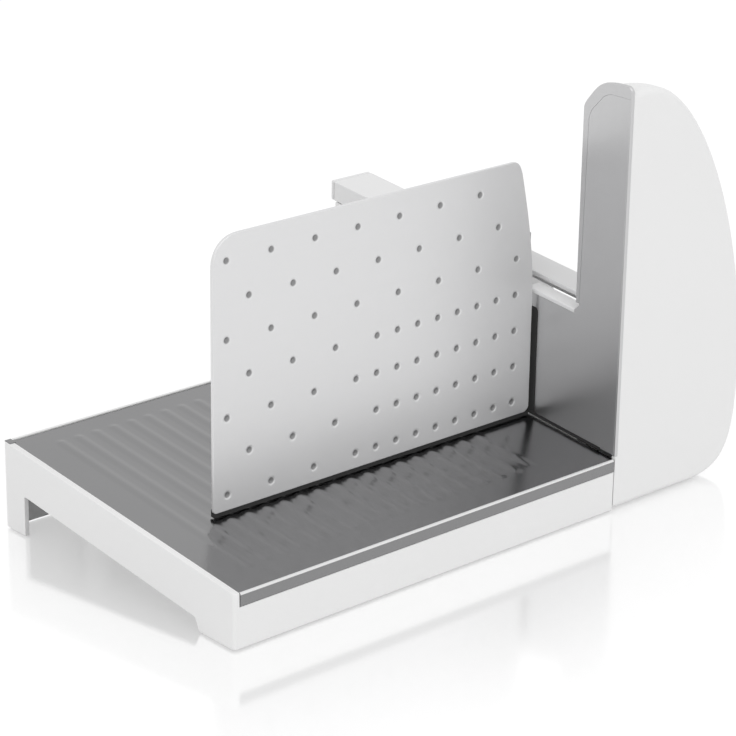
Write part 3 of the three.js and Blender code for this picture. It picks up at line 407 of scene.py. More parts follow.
# For each slot: name, colour, metallic, roughness and its swing, bump strength, bump depth in
# micrometres, tint, and the scale of the moulded grain or the stretch of the brushed one
surfaces = {
    "white_plastic": ("whitePlastic", (0.83, 0.83, 0.83), 0, 0.34, 0.08, 0.12, 40, 0.012, 1400),
    "rail_plastic": ("railPlastic", (0.81, 0.81, 0.812), 0, 0.38, 0.08, 0.12, 40, 0.015, 1400),
    "dark_plastic": ("darkPlastic", (0.035, 0.036, 0.038), 0, 0.5, 0.1, 0.3, 80, 0.12, 1100),
    "rubber": ("rubberBlack", (0.02, 0.02, 0.02), 0, 0.8, 0.1, 0.4, 100, 0.2, 700),
    "nylon": ("naturalNylon", (0.66, 0.63, 0.54), 0, 0.45, 0.1, 0.2, 50, 0.03, 900),
    "circuit_board": ("boardResin", (0.03, 0.16, 0.07), 0, 0.4, 0.12, 0.2, 50, 0.2, 1200),
    "tray_steel": ("traySteel", (0.25, 0.25, 0.253), 1, 0.2, 0.06, 0.05, 20, 0.04, (900, 8, 60)),
    "carriage_sheet": ("plateSheet", (0.75, 0.75, 0.755), 0.6, 0.42, 0.08, 0.06, 20, 0.02, (9, 700, 700)),
    "stop_panel": ("stopPanel", (0.57, 0.57, 0.575), 1, 0.33, 0.08, 0.06, 20, 0.02, (700, 700, 8)),
    "blade_steel": ("bladeSteel", (0.62, 0.62, 0.63), 1, 0.22, 0.12, 0.1, 30, 0.05, (900, 60, 60)),
    "inner_steel": ("innerSteel", (0.5, 0.5, 0.51), 1, 0.35, 0.14, 0.12, 40, 0.08, (60, 500, 500)),
    "bush_brass": ("bushBrass", (0.62, 0.46, 0.2), 1, 0.33, 0.12, 0.1, 40, 0.06, (500, 60, 60)),
    "rotor_winding": ("rotorWinding", (0.42, 0.2, 0.08), 0.8, 0.42, 0.15, 0.4, 300, 0.2, (500, 30, 500)),
}
micrometre = 0.000001


def addSurface(name, colour, metallic, roughness, swing, bump, depth, tint, size):
    material, tree, shader = newMaterial(name)
    group, label = (brushedGrain, "Stretch") if isinstance(size, tuple) else (mouldedGrain, "Scale")
    grain = addNode(tree, "Group", {"Roughness": roughness, "Swing": swing, label: size}, node_tree=group)
    pressed = {"Strength": bump, "Distance": depth * micrometre, "Height": grain["Height"]}
    relief = addNode(tree, "Bump", pressed)["Normal"]
    dark, light = [(*[min(1, c * share) for c in colour], 1) for share in (1 - tint, 1 + tint)]
    shade = addNode(tree, "Mix", {0: grain["Smudge"], 6: dark, 7: light}, data_type="RGBA")[2]
    feed(tree, shader, {"Base Color": shade, "Metallic": metallic, "Normal": relief,
                        "Roughness": grain["Roughness"]})
    return material


slotMaterials = {slotName: addSurface(*values) for slotName, values in surfaces.items()}

# Painted shade in the dimpled plate's pressed marks, whose depth runs from Start to End in metres
recessPaintedShade = {"Start": -0.0579, "End": -0.0575, "strength": 0.72, "colour": (0.08, 0.08, 0.08, 1)}


def shadeRecess(material):
    tree = material.node_tree
    shader = tree.nodes["Principled BSDF"]
    unshadedColour = shader.inputs["Base Color"].links[0].from_socket
    marks = addNode(tree, "Group", {key: recessPaintedShade[key] for key in ("Start", "End")}, node_tree=recessShade)
    share = addMath(tree, "MULTIPLY", marks["Mask"], recessPaintedShade["strength"])
    # Darkens the colour towards near-black deep inside the marks: painted shade
    shade = addNode(tree, "Mix", {0: share, 6: unshadedColour, 7: recessPaintedShade["colour"]}, data_type="RGBA")[2]
    feed(tree, shader, {"Base Color": shade})


shadeRecess(slotMaterials["carriage_sheet"])
print("materials made")

for part in frame["record"]["subparts"]:
    dressed = frame["nodes"][part["node"]].data
    dressed.materials.clear()
    dressed.materials.append(slotMaterials[part["material_slot"]])


# Named after the node that it stands for. A name that no node has is a piece of this scene alone.
def finishPiece(piece, node, body, slotName, angle=32):
    nodes = [node] if node in frame["nodes"] else []
    piece.name = piece.data.name = camelName(node)
    editAll(piece)
    bpy.ops.mesh.remove_doubles(threshold=0.000002)
    done()
    bpy.ops.object.shade_smooth_by_angle(angle=math.radians(angle))
    applyModifier(piece, "WEIGHTED_NORMAL", keep_sharp=True, weight=100)
    piece.data.materials.clear()
    piece.data.materials.append(slotMaterials[slotName])
    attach(piece, body)
    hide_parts(*nodes)


# Base: a wedge-shaped white shell, open below, with a long arch in its left side
base = {"length": 274.6, "side": [(0, 1), (201, 1), (201, 52), (0, 32.2)], "corner": (2.2, 5),
        "edge": (0.66, 3, 30), "bossTop": -3.9, "hollowCorner": (1.6, 3),
        "hollow": ((2.6, 3.6, -90), (270, 198.4, -4.2)),
        "recess": ((3.6, -3, -1.8), (280, 199, 40)), "notch": ((3.6, -3, 24.3), (280, 1.3, 60)),
        "bladeRoom": ((272.6, 76, -5), (280, 210, 90)),
        "arch": [(26, -3), (31.8, 8.4), (182.2, 24.8), (182.2, -3)], "archDeep": (-3, 5.6),
        "archCorner": (1.2, 4), "feet": [(50, 17), (50, 184)], "footLow": 2.7, "footBoss": (8, 40),
        "screws": [(240, 54), (240, 184)], "screwLow": 6.3, "screwHole": (3.5, 16.5),
        "ribs": (85, 125, 165, 205), "rib": ((0, 3, -14), (1.6, 198, -4)),
        "chassisRoom": ((227.7, 41.7, -5), (336.3, 196.3, 6.3))}


# A boss with a screw hole, whose start and end are in hole
def addBoss(shell, axis, across, start, end, hole, radius=4.2, sides=32):
    joinWith(shell, addRod("screwBoss", axis, across, start, end, radius, sides))
    cutWith(shell, *addHoles(axis, [across], *hole))


def makeBaseShell():
    shell = drawOutline("baseShell", "x", base["side"], 0, base["length"])
    roundEdges(shell, 2, *base["corner"], lambda at: at[0] < 1)
    soften(shell, *base["edge"])
    hollow, recess, notch, bladeRoom = addBlocks(base, "hollow", "recess", "notch", "bladeRoom")
    tiltOnDeck(hollow, recess)
    roundEdges(hollow, 2, *base["hollowCorner"])
    arch = drawOutline("arch", "x", base["arch"], *base["archDeep"])
    roundEdges(arch, 0, *base["archCorner"], lambda at: at[2] > 5)
    cutWith(shell, hollow, recess, notch, bladeRoom, arch)
    for x, y in base["feet"]:
        top = deckAt(y, base["bossTop"])
        joinWith(shell, addRod("footBoss", "z", (x, y), base["footLow"], top, *base["footBoss"]))
    for x, y in base["screws"]:
        addBoss(shell, "z", (x, y), base["screwLow"], deckAt(y, base["bossTop"]), base["screwHole"])
    for x in base["ribs"]:
        rib = addBlock("rib", *[(x + dx, y, z) for dx, y, z in base["rib"]])
        tiltOnDeck(rib)
        joinWith(shell, rib)
    cutWith(shell, *addBlocks(base, "chassisRoom"))
    finishPiece(shell, "base_shell", "base", "white_plastic")


# Food tray: one sheet with pressed beads and a folded front lip, whose points are (y, drop)
tray = {"left": 4.2, "right": 274.4, "front": 1.2, "back": 198.6, "top": -0.5, "thick": 1.0,
        "beads": 18, "pitch": 11.95, "firstBead": 26.4, "beadFront": 17, "beadBack": 187, "beadHalf": 4.5,
        "beadHeight": 0.38, "bands": 14, "columns": 18, "endRows": 12, "endLap": 2, "middleRows": 10,
        "lip": [(0.55, -0.12), (0.16, -0.5), (0.0, -1.1)], "lipLow": 24.6,
        "bladeRoom": ((272.3, 75.7, 0), (280, 210, 90)), "hem": (4.4, 274.2, 1.0, 32), "hemLift": 0.12,
        "hemEdge": (0.2, 2), "tab": ((0.5, 195.2, -0.6), (4.6, 200.4, 0.35)), "tabEdge": (0.3, 2)}


# The cell that the array repeats: a fine grid over one bead
def makeBeadCell(front, step):
    pitch, rows, bandHalf = tray["pitch"], tray["endRows"], tray["beadHalf"]
    endLength = rows * step
    bpy.ops.mesh.primitive_grid_add(x_subdivisions=tray["columns"], y_subdivisions=rows, size=1,
                                    location=spot(tray["firstBead"], front + endLength / 2, 0))
    sheet = bpy.context.object
    sheet.scale = (pitch * mm, endLength * mm, 1)
    settle(sheet)
    long = tray["beadBack"] + tray["endLap"] * step - front - 2 * endLength
    pick(sheet, "EDGE", lambda e: runsAlong(e, 0) and near(middleOf(e)[1], front + endLength, 0.1))
    for length in [long / tray["middleRows"]] * tray["middleRows"] + [step] * rows:
        extrudeEdges(0, length, 0)
    done()

    def fromBead(vertex):
        x, y, _ = middleOf(vertex)
        nearest = min(max(y, tray["beadFront"] + bandHalf), tray["beadBack"] - bandHalf)
        return math.hypot(x - tray["firstBead"], y - nearest)

    for band in range(tray["bands"]):
        low, high = [bandHalf * (band + more) / tray["bands"] for more in (0, 1)]
        if pick(sheet, "VERT", lambda v: low - 0.001 <= fromBead(v) < high - 0.001):
            lift = tray["beadHeight"] * (1 + math.cos(math.pi * (low + high) / 2 / bandHalf)) / 2
            bpy.ops.transform.translate(value=(0, 0, lift * mm))
        done()
    return sheet


def foldLip(sheet):
    y, z = tray["front"], deckAt(tray["front"], tray["top"])
    pick(sheet, "EDGE", lambda e: runsAlong(e, 0) and near(middleOf(e)[1], y))
    points = [(y, z)] + [(nextY, z + drop) for nextY, drop in tray["lip"]] + [(0.0, tray["lipLow"])]
    for (fromY, fromZ), (toY, toZ) in zip(points, points[1:]):
        extrudeEdges(0, toY - fromY, toZ - fromZ)
    pointOutwards()


def makeFoodTray():
    pitch = tray["pitch"]
    step = pitch / tray["columns"]
    front = tray["beadFront"] - tray["endLap"] * step
    sheet = makeBeadCell(front, step)
    applyModifier(sheet, "ARRAY", count=tray["beads"], use_relative_offset=False, use_constant_offset=True,
                  constant_offset_displace=(pitch * mm, 0, 0), use_merge_vertices=True,
                  merge_threshold=0.00001)
    left = tray["firstBead"] - pitch / 2
    right = left + pitch * tray["beads"]
    back = tray["beadBack"] + tray["endLap"] * step
    for axis, at, side in [(0, left, "left"), (0, right, "right"), (1, front, "front"), (1, back, "back")]:
        pick(sheet, "EDGE", lambda e: runsAlong(e, 1 - axis) and near(middleOf(e)[axis], at))
        shift = [0, 0, 0]
        shift[axis] = tray[side] - at
        extrudeEdges(*shift)
        done()
    tiltOnDeck(sheet)
    sheet.location.z = tray["top"] * mm
    settle(sheet)
    foldLip(sheet)
    applyModifier(sheet, "SOLIDIFY", thickness=tray["thick"] * mm, offset=-1, use_even_offset=True)
    cutWith(sheet, *addBlocks(tray, "bladeRoom"))
    start, end, radius, sides = tray["hem"]
    height = deckAt(radius, tray["top"] - radius + tray["hemLift"])
    hem = addRod("hem", "x", (radius, height), start, end, radius, sides)
    soften(hem, *tray["hemEdge"])
    finishPiece(hem, "tray_hem", "base", "carriage_sheet")
    tab, = addBlocks(tray, "tab")
    tiltOnDeck(tab)
    soften(tab, *tray["tabEdge"])
    joinWith(sheet, tab)
    finishPiece(sheet, "food_tray", "base", "tray_steel", angle=40)


# Tower: a front and a back shell in one rounded outline, and a grey trim round the opening that the
# stop plate slides in. Its levels are (depth, inset) of the outline towards the back.
tower = {"top": 247.3,
         "outline": [(245, 1), (245, 244.5), (290, 244.5, None, (333.032, 244.5)),
                     (378, 60, (378, 150.2205), (378, 13.803)), (338, 1, (369.32, 1), None)],
         "curveSteps": 28, "seam": 18, "seamGap": 0.3, "depth": 36, "wall": 2.6, "frontRound": (4, 8),
         "flatTo": 9,
         "levels": [(12, 0.2), (15, 0.55), (17.5, 1.0), (20, 1.55), (22.3, 2.5), (24.7, 3.9), (27, 5.8),
                    (29.4, 8.4), (31.9, 11.4), (34, 14), (35.3, 16), (36, 18)],
         "screws": [(340, 22), (336, 166), (304, 218.3)], "lap": 0.3, "holeShift": 0.8,
         "sunk": (34, 38, 3.7, 32), "through": (29, 37),
         "knob": (331, 98.99), "knobHole": (29, 41, 5.9, 40),
         "buttons": [(349.5, 66.0), (349.5, 41.99)], "buttonHole": (29, 41, 8.3, 40),
         "coverRoom": ((272, 1.2, 33.3), (292.3, 21, 241.55)),
         "columnRoom": ((272, 17, 33.3), (292.3, 21, 241.55)),
         "wallRoom": ((272, 33, 33.3), (292.3, 40, 115)),
         "trimRoom": ((270, -3, 33.35), (276.75, 40, 260)),
         "trim": {"thick": 1.7, "low": 33.4, "gap": 0.06, "edge": 0.6, "passage": (272, 281),
                  "wallPassage": ((270, 1.44, 20), (280, 50, 115.9))}}


# The whole outline narrows towards the back. One half is kept, open at the seam and at the face.
def makeTowerForm(name, seamAt, keepFront):
    depth, inset = tower["flatTo"], 0
    form = drawOutline(name, "y", tower["outline"], 0, depth, tower["curveSteps"])
    roundEdges(form, None, *tower["frontRound"], lambda at: near(at[1], 0, 0.01))
    pick(form, "FACE", lambda f: near(middleOf(f)[1], depth, 0.01) and abs(f.normal.y) > 0.9)
    for nextDepth, nextInset in tower["levels"]:
        bpy.ops.mesh.inset(thickness=(nextInset - inset) * mm, depth=(nextDepth - depth) * mm)
        depth, inset = nextDepth, nextInset
    bisectAll((faceX, 0, 0), (1, 0, 0), clear_inner=True)
    bisectAll((0, seamAt, 0), (0, 1, 0), clear_inner=not keepFront, clear_outer=keepFront)
    done()
    applyModifier(form, "SOLIDIFY", thickness=tower["wall"] * mm, offset=-1, use_even_offset=True)
    return form


def addTowerBosses(shell, start, end):
    for across in tower["screws"]:
        addBoss(shell, "y", across, start, end, (start + tower["holeShift"], end + tower["holeShift"]))


def makeTowerCover():
    shell = makeTowerForm("towerCover", tower["seam"], True)
    addTowerBosses(shell, tower["wall"] - tower["lap"], tower["seam"])
    cutWith(shell, *addBlocks(tower, "coverRoom", "trimRoom"))
    finishPiece(shell, "tower_cover", "base", "white_plastic")


def makeTowerBack():
    start = tower["seam"] + tower["seamGap"]
    shell = makeTowerForm("towerBack", start, False)
    addTowerBosses(shell, start, tower["depth"] - tower["wall"] + tower["lap"])
    cutWith(shell, *addBlocks(tower, "wallRoom", "columnRoom", "trimRoom"),
            *addHoles("y", [tower["knob"]], *tower["knobHole"]),
            *addHoles("y", tower["buttons"], *tower["buttonHole"]),
            *addHoles("y", tower["screws"], *tower["sunk"]),
            *addHoles("y", tower["screws"], *tower["through"]), dialMarks())
    finishPiece(shell, "tower_back", "base", "white_plastic")


# Grooves round the knob, one for each step of thickness, every second one longer
dial = {"steps": 8, "turn": 160.5, "inner": 20.2, "outer": (24.4, 23.2), "half": 0.35, "deep": (35.55, 37)}


def dialMarks():
    x, z = tower["knob"]
    low, high = dial["deep"]
    marks = []
    for i in range(dial["steps"] + 1):
        mark = addBlock("mark", (x - dial["half"], low, z + dial["inner"]),
                        (x + dial["half"], high, z + dial["outer"][i % 2]))
        turnAbout(mark, x, z, dial["turn"] * (i / dial["steps"] - 0.5))
        marks.append(mark)
    return gather("marks", marks)


# Stop plate: the grey column and the low wall that runs on from it, under a cap of its own
stop = {"thick": 3, "front": 1.5, "low": 1.4, "lowBack": 74, "wallRise": 75.9, "columnBack": 33,
        "bend": {"back": 36.3, "at": 36, "rise": 3}, "corner": [(31.4, 226.9), (18.8, 240.2)],
        "cornerGrow": (0.38, 0.45), "round": (4.5, 8), "edge": (0.08, 1),
        "capRoom": ((272, 36.4, 73.45), (281, 80, 81.9)), "cap": ((275, 36.5, 73.5), (285, 74, 75.9)),
        "lowStep": ((278.2, 36.9, 71.1), (286.3, 73.6, 74.1)), "capRound": (0.9, 5), "capAbove": 113,
        "capEdge": (0.2, 2)}


def drawStopPlate(name, start, end, grow=0.0):
    low, rise, bend = stop["low"] - grow, stop["wallRise"] + grow, stop["bend"]
    front, back = stop["front"] - grow, stop["lowBack"] + grow
    (backY, backZ), (topY, topZ) = stop["corner"]
    backGrow, topGrow = stop["cornerGrow"]
    outline = [
        (front, deckAt(stop["front"], low)),
        (back, deckAt(stop["lowBack"], low)),
        (back, deckAt(stop["lowBack"], rise)),
        (bend["back"], deckAt(bend["at"], rise)),
        (stop["columnBack"] + grow, deckAt(bend["at"], rise) + bend["rise"]),
        (backY + grow, backZ + backGrow * grow),
        (topY + topGrow * grow, topZ + grow),
        (front, topZ + grow),
    ]
    sheet = drawOutline(name, "x", outline, start, end, 1)
    roundEdges(sheet, 0, *stop["round"], lambda at: at[2] > 220 and at[1] > 5)
    return sheet


def makeStopPlate():
    sheet = drawStopPlate("stopPlate", faceX, faceX + stop["thick"])
    soften(sheet, *stop["edge"])
    room, cap, lowStep = addBlocks(stop, "capRoom", "cap", "lowStep")
    tiltOnDeck(room, cap, lowStep)
    cutWith(sheet, room)
    finishPiece(sheet, "stop_plate", "stop", "stop_panel")
    roundEdges(cap, 1, *stop["capRound"], lambda at: at[0] < faceX + 0.1 and at[2] > stop["capAbove"])
    joinWith(cap, lowStep)
    soften(cap, *stop["capEdge"])
    finishPiece(cap, "wall_cap", "stop", "rail_plastic")


def makeTowerTrim():
    trim, top = tower["trim"], tower["top"]
    side = [(0, trim["low"]), (0, top), (tower["flatTo"], top)]
    side += [(y, top - inset) for y, inset in tower["levels"]] + [(tower["depth"], trim["low"])]
    ring = drawOutline("towerTrim", "x", side, faceX, faceX + trim["thick"], 1)
    roundEdges(ring, 0, *tower["frontRound"], lambda at: near(at[1], 0) and at[2] > 240)
    roundEdges(ring, None, trim["edge"], 1, lambda at: near(at[0], faceX) and at[2] > trim["low"] + 1)
    cutWith(ring, drawStopPlate("passage", *trim["passage"], trim["gap"]), *addBlocks(trim, "wallPassage"))
    finishPiece(ring, "tower_trim", "base", "stop_panel")


# Rail: the pale strip along the top of the low wall, wider behind the blade
rail = {"cap": ((288, 36.3, 76.3), (309, 247, 79.3)), "web": ((301.4, 36.3, 67), (307, 247, 77.8)),
        "skirt": ((278.7, 119.6, 67), (281.7, 247, 79)), "end": ((278.7, 247.3, 67), (309, 249.7, 79.3)),
        "left": 288, "farFront": 119.6, "wider": 9.3, "edge": (0.7, 3), "endEdge": (0.8, 3)}


def makeRail():
    cap, web, skirt = addBlocks(rail, "cap", "web", "skirt")
    editAll(cap)
    bisectAll((0, rail["farFront"], 0), (0, 1, 0))
    done()
    pick(cap, "FACE", lambda f: near(middleOf(f)[0], rail["left"]) and middleOf(f)[1] > rail["farFront"])
    bpy.ops.mesh.extrude_region_move(TRANSFORM_OT_translate={"value": (-rail["wider"] * mm, 0, 0)})
    done()
    tiltOnDeck(cap, web, skirt)
    for piece in (cap, web, skirt):
        soften(piece, *rail["edge"])
    joinWith(cap, web, skirt)
    finishPiece(cap, "rail_beam", "base", "rail_plastic")
    end, = addBlocks(rail, "end")
    tiltOnDeck(end)
    soften(end, *rail["endEdge"])
    finishPiece(end, "rail_end_cap", "base", "rail_plastic")


# Dimpled plate: the carriage's wall, with pressed dimples that stand out behind. Its profiles are
# (radius, height) from the face that they start on.
plate = {"outline": [(40.6, 43.5, None, (40.6, 42.396)), (42.6, 41.5, (41.496, 41.5), None),
                     (268.4, 41.5, None, (270.608, 41.5)), (272.4, 45.5, (272.4, 43.292), None),
                     (272.4, 112, None, (272.4, 138)), (261.7, 185, (266.8, 163), (259.9, 191.8)),
                     (253.6, 194, (257.6, 194), None), (58.5, 194, None, (46.5, 194)),
                     (40.6, 176, (40.6, 186.5), None)],
         "front": 67, "back": 69, "curveSteps": 12, "edge": (0.45, 3), "sides": 20,
         "dimple": [(0, 0.85), (0.6, 0.8), (1.1, 0.64), (1.6, 0.4), (2.1, 0.18), (2.6, 0.05), (3.2, -0.01),
                    (3.2, -0.8), (0, -0.8)],
         "bump": [(0, 1.25), (0.95, 1.14), (1.75, 0.84), (2.4, 0.44), (2.95, 0.12), (3.5, -0.04),
                  (3.5, -0.6), (0, -0.6)],
         "first": (50, 180), "pitch": 29.8, "rowPitch": 21.6, "rows": 7, "until": 264.95,
         "denseRow": 3, "denseFrom": 154, "leaningRows": 2, "leaningFrom": 251,
         "screws": [(205, 142.47), (255, 142.47)], "screwHole": (67.4, 73)}


# The rows alternate by half a pitch. Low on the right, every place between two marks has one too.
def dimpleSpots():
    half = plate["pitch"] / 2
    spots = []
    for row in range(plate["rows"]):
        x = plate["first"][0] + (row % 2) * half
        column = 0
        while x < plate["until"]:
            leaning = row < plate["leaningRows"] and x > plate["leaningFrom"]
            dense = row >= plate["denseRow"] and x > plate["denseFrom"]
            if (column % 2 == 0 or dense) and not leaning:
                spots.append((x, plate["first"][1] - row * plate["rowPitch"]))
            x += half
            column += 1
    return spots


def makeDimpledPlate():
    sheet = drawOutline("dimpledPlate", "y", plate["outline"], plate["front"], plate["back"],
                        plate["curveSteps"])
    soften(sheet, *plate["edge"])
    spots = dimpleSpots()
    for label, face, use in [("bump", plate["back"], joinWith), ("dimple", plate["front"], cutWith)]:
        mark = turnProfile(label, "y", (0, 0, 0), plate[label], plate["sides"])
        use(sheet, gather(label, [copyTo(mark, (x, face, z)) for x, z in spots]))
        bpy.data.objects.remove(mark)
    cutWith(sheet, *addHoles("y", plate["screws"], *plate["screwHole"]))
    finishPiece(sheet, "dimpled_plate", "carriage", "carriage_sheet", angle=38)


# Motor housing behind the low wall, with its side cover and vents
housing = {"left": 278.6, "split": 341.4, "splitGap": 0.3, "right": 344, "front": 36.6, "roofFront": 119.3,
           "back": 247, "low": 1, "openLow": -3, "beyond": 350, "shelf": (36, 40), "roof": 66.7,
           "wall": 2.6, "chamfer": (318, 16), "chamferSpan": (30, 256), "above": 90, "corner": (2.5, 5),
           "hubHole": ((146, 84), 272, 284, 12, 64), "inletHole": ((312, 24), 240, 252, 7.3, 40),
           "coverEdge": (1.1, 4), "vents": {"low": (338, 180, 44), "high": (348, 183.4, 74), "axis": 0,
                                            "count": 6, "pitch": 8, "rounding": (1.6, 5)}}


# The outer form, or the room inside its walls, with the roof's long edge cut off
def housingForm(name, start, end, inset=0, low=housing["low"]):
    front, back, roofFront, roof = [housing[key] for key in ("front", "back", "roofFront", "roof")]
    roof -= inset
    frontShelf, backShelf = housing["shelf"]
    outline = [
        (front + inset, low),
        (back - inset, low),
        (back - inset, deckAt(back, roof)),
        (roofFront + inset, deckAt(roofFront, roof)),
        (roofFront + inset, backShelf - inset),
        (front + inset, frontShelf - inset),
    ]
    form = drawOutline(name, "x", outline, start, end)
    x, drop = housing["chamfer"]
    right, beyond, above = housing["right"], housing["beyond"], housing["above"]
    edge = [(x, roof), (right, roof - drop), (beyond, roof - drop), (beyond, above), (x, above)]
    wedge = drawOutline("wedge", "y", edge, *housing["chamferSpan"])
    tiltOnDeck(wedge)
    cutWith(form, wedge)
    return form


def makeSideHousing():
    wall, back, split = housing["wall"], housing["back"], housing["split"]
    shell = housingForm("sideHousing", housing["left"], split)
    roundEdges(shell, None, *housing["corner"],
               lambda at: near(at[1], back, 0.01) and not near(at[0], split) and at[2] > 3)
    room = housingForm("room", housing["left"] + wall, housing["beyond"], wall, housing["openLow"])
    cutWith(shell, room)
    for axis, name in (("x", "hubHole"), ("y", "inletHole")):
        across, *rod = housing[name]
        cutWith(shell, *addHoles(axis, [across], *rod))
    cutWith(shell, *addBlocks(base, "chassisRoom"))
    finishPiece(shell, "side_housing", "base", "white_plastic")


# A block with two rounded ends, copied along y
def makeSlots(low, high, axis, count, pitch, rounding):
    slot = addBlock("slot", low, high)
    roundEdges(slot, axis, *rounding)
    copies = [copyTo(slot, (0, i * pitch, 0)) for i in range(count)]
    bpy.data.objects.remove(slot)
    return copies


def makeSideCover():
    cover = housingForm("sideCover", housing["split"] + housing["splitGap"], housing["right"])
    roundEdges(cover, None, *housing["coverEdge"], lambda at: near(at[0], housing["right"], 0.3))
    cutWith(cover, *makeSlots(**housing["vents"]))
    finishPiece(cover, "side_cover", "base", "white_plastic")


# Painted shadow: black rubber strips that stand in for the shadow gaps under the dimpled plate, where it
# runs over the tray, and beside the blade slot
shadeStrips = {"lip": ((41.2, 67.1, 0.4), (272.3, 70.1, 2.68)), "back": ((41.2, 69, 0.4), (272.3, 70.1, 4.4)),
          "guard": ((274.7, 64.8, 39.8), (275.2, 73.6, 104.5)), "slotShadeRound": (2.6, 6),
          "strip": ((274.5, 12, 0.3), (275.2, 73.9, 1.9)), "lipEdge": (0.3, 2), "slotShadeEdge": (0.12, 2)}


def makeShadeStrips():
    lip, back, guard, strip = addBlocks(shadeStrips, "lip", "back", "guard", "strip")
    tiltOnDeck(lip, back, strip)
    joinWith(lip, back)
    soften(lip, *shadeStrips["lipEdge"])
    # Black strip under the plate's lower edge that stands in for the shadow gap over the tray: painted
    # shadow
    finishPiece(lip, "plate_edging", "carriage", "rubber")
    roundEdges(guard, 0, *shadeStrips["slotShadeRound"], lambda at: at[2] > 90)
    joinWith(guard, strip)
    soften(guard, *shadeStrips["slotShadeEdge"])
    # Black strip beside the blade slot and along the wall's foot that stands in for the slot's shadow:
    # painted shadow
    finishPiece(guard, "slot_edging", "stop", "rubber")


# Carriage behind the dimpled plate: the bridge over the blade and the shoe on the rail
bridge = {"plan": [(190, 69.3), (271.8, 69.3), (271.8, 113.7), (303, 113.7), (303, 142), (288, 142),
                   (262, 117), (190, 87.3)], "shelf": (106.57, 110.57), "shelfRound": (3, 5),
          "flange": ((190, 69.3, 100.77), (271.8, 72.3, 110.17)), "flangeRound": (2.5, 5),
          "leg": ((291, 117, 84), (303, 142, 107.07)), "legRound": (1.5, 4), "screwHole": (67, 75),
          "edge": (0.6, 2, 50)}
shoe = {"side": [(291, 79.7), (309.4, 79.7), (309.4, 71.3), (313, 71.3), (313, 83.7), (291, 83.7)],
        "span": (117, 141), "edge": (0.7, 3)}


def makeCarriage():
    shelf = drawOutline("shelf", "z", bridge["plan"], *bridge["shelf"], 1)
    roundEdges(shelf, 2, *bridge["shelfRound"])
    flange, leg = addBlocks(bridge, "flange", "leg")
    roundEdges(flange, 1, *bridge["flangeRound"], lambda at: at[2] < bridge["shelf"][0])
    roundEdges(leg, 2, *bridge["legRound"])
    tiltOnDeck(shelf, flange, leg)
    joinWith(shelf, flange, leg)
    cutWith(shelf, *addHoles("y", plate["screws"], *bridge["screwHole"]))
    soften(shelf, *bridge["edge"])
    finishPiece(shelf, "carriage_bridge", "carriage", "stop_panel")
    block = drawOutline("carriageShoe", "y", shoe["side"], *shoe["span"], 1)
    tiltOnDeck(block)
    soften(block, *shoe["edge"])
    finishPiece(block, "carriage_shoe", "carriage", "dark_plastic")


# Screws: a dished pan head with a cross slot, turned once for each length
screw = {"tip": [(0, 0), (0.5, 0), (1.7, 2.2)], "sides": 28, "slots": ((0.85, 4.4), (4.4, 0.85)),
         "head": [(1.7, 0), (3.4, 0), (3.4, 0.8), (3.1, 1.4), (2.3, 1.85), (0, 2)], "slotLow": 0.9}
screwSets = [
    ("tower_screw", 25.3, -90, "base", [(x, 34.3, z) for x, z in tower["screws"]]),
    ("chassis_screw", 12.3, 180, "base", [(x, y, 3.7) for x, y in base["screws"]]),
    ("bridge_screw", 5, -90, "carriage", [(x, 72.6, z) for x, z in plate["screws"]]),
]


def placeScrews(name, length, turn, body, spots):
    profile = [(radius, height - length) for radius, height in screw["tip"]] + screw["head"]
    pattern = turnProfile("screw", "z", (0, 0, 0), profile, screw["sides"])
    for x, y in screw["slots"]:
        cutWith(pattern, addBlock("slot", (-x / 2, -y / 2, screw["slotLow"]), (x / 2, y / 2, 3)))
    pattern.data.transform(Matrix.Translation(-tableCorner))
    for i, place in enumerate(spots, 1):
        copy = copyTo(pattern, (0, 0, 0))
        copy.rotation_euler = (math.radians(turn), 0, 0)
        copy.location = spot(*place)
        settle(copy)
        finishPiece(copy, f"{name}_{i}", body, "inner_steel")
    bpy.data.objects.remove(pattern)


# Blade: a ground disc with its cap, whose profiles run right from their left faces
blade = {"discAt": (274.3, 146, 84), "discSides": 144, "capSides": 64,
         "disc": [(5, 0), (20, 0), (20.5, 0.14), (58.4, 0.14), (59, 0), (60.2, 0.02), (66.7, 0.55),
                  (67, 0.8), (66.7, 1.05), (60.2, 1.58), (5, 1.6), (5, 0)],
         "cap": [(0, 0.12), (8.5, 0), (12.4, 0.1), (14.3, 0.5), (15, 1.1), (4.8, 1.1), (4.8, 3), (0, 3)],
         "capAt": (272.9, 146, 84), "slot": ((271.9, 145.2, 75.5), (273.45, 146.8, 92.5))}


def makeBlade():
    disc = turnProfile("blade", "x", blade["discAt"], blade["disc"], blade["discSides"])
    finishPiece(disc, "blade", "blade_unit", "blade_steel", angle=25)
    cap = turnProfile("bladeCap", "x", blade["capAt"], blade["cap"], blade["capSides"])
    cutWith(cap, *addBlocks(blade, "slot"))
    finishPiece(cap, "blade_cap", "blade_unit", "blade_steel", angle=25)


# Thickness knob: a skirt, a fluted grip and a pointer groove
knob = {"base": 38.2, "sides": 80,
        "profile": [(0, 16.5), (3.1, 16.5), (3.1, 0), (17.3, 0), (18, 0.7), (18, 2.9), (17.4, 3.6),
                    (17.1, 4.4), (16.9, 17.6), (16.3, 19.2), (14.9, 20), (9.5, 19.55), (0, 19.3)],
        "grips": 20, "gripAt": 18.5, "grip": (43.2, 62.2, 2.3, 20), "gripRound": (0.9, 3),
        "pointer": ((-0.75, 57.5, 5.5), (0.75, 59.2, 15.2))}


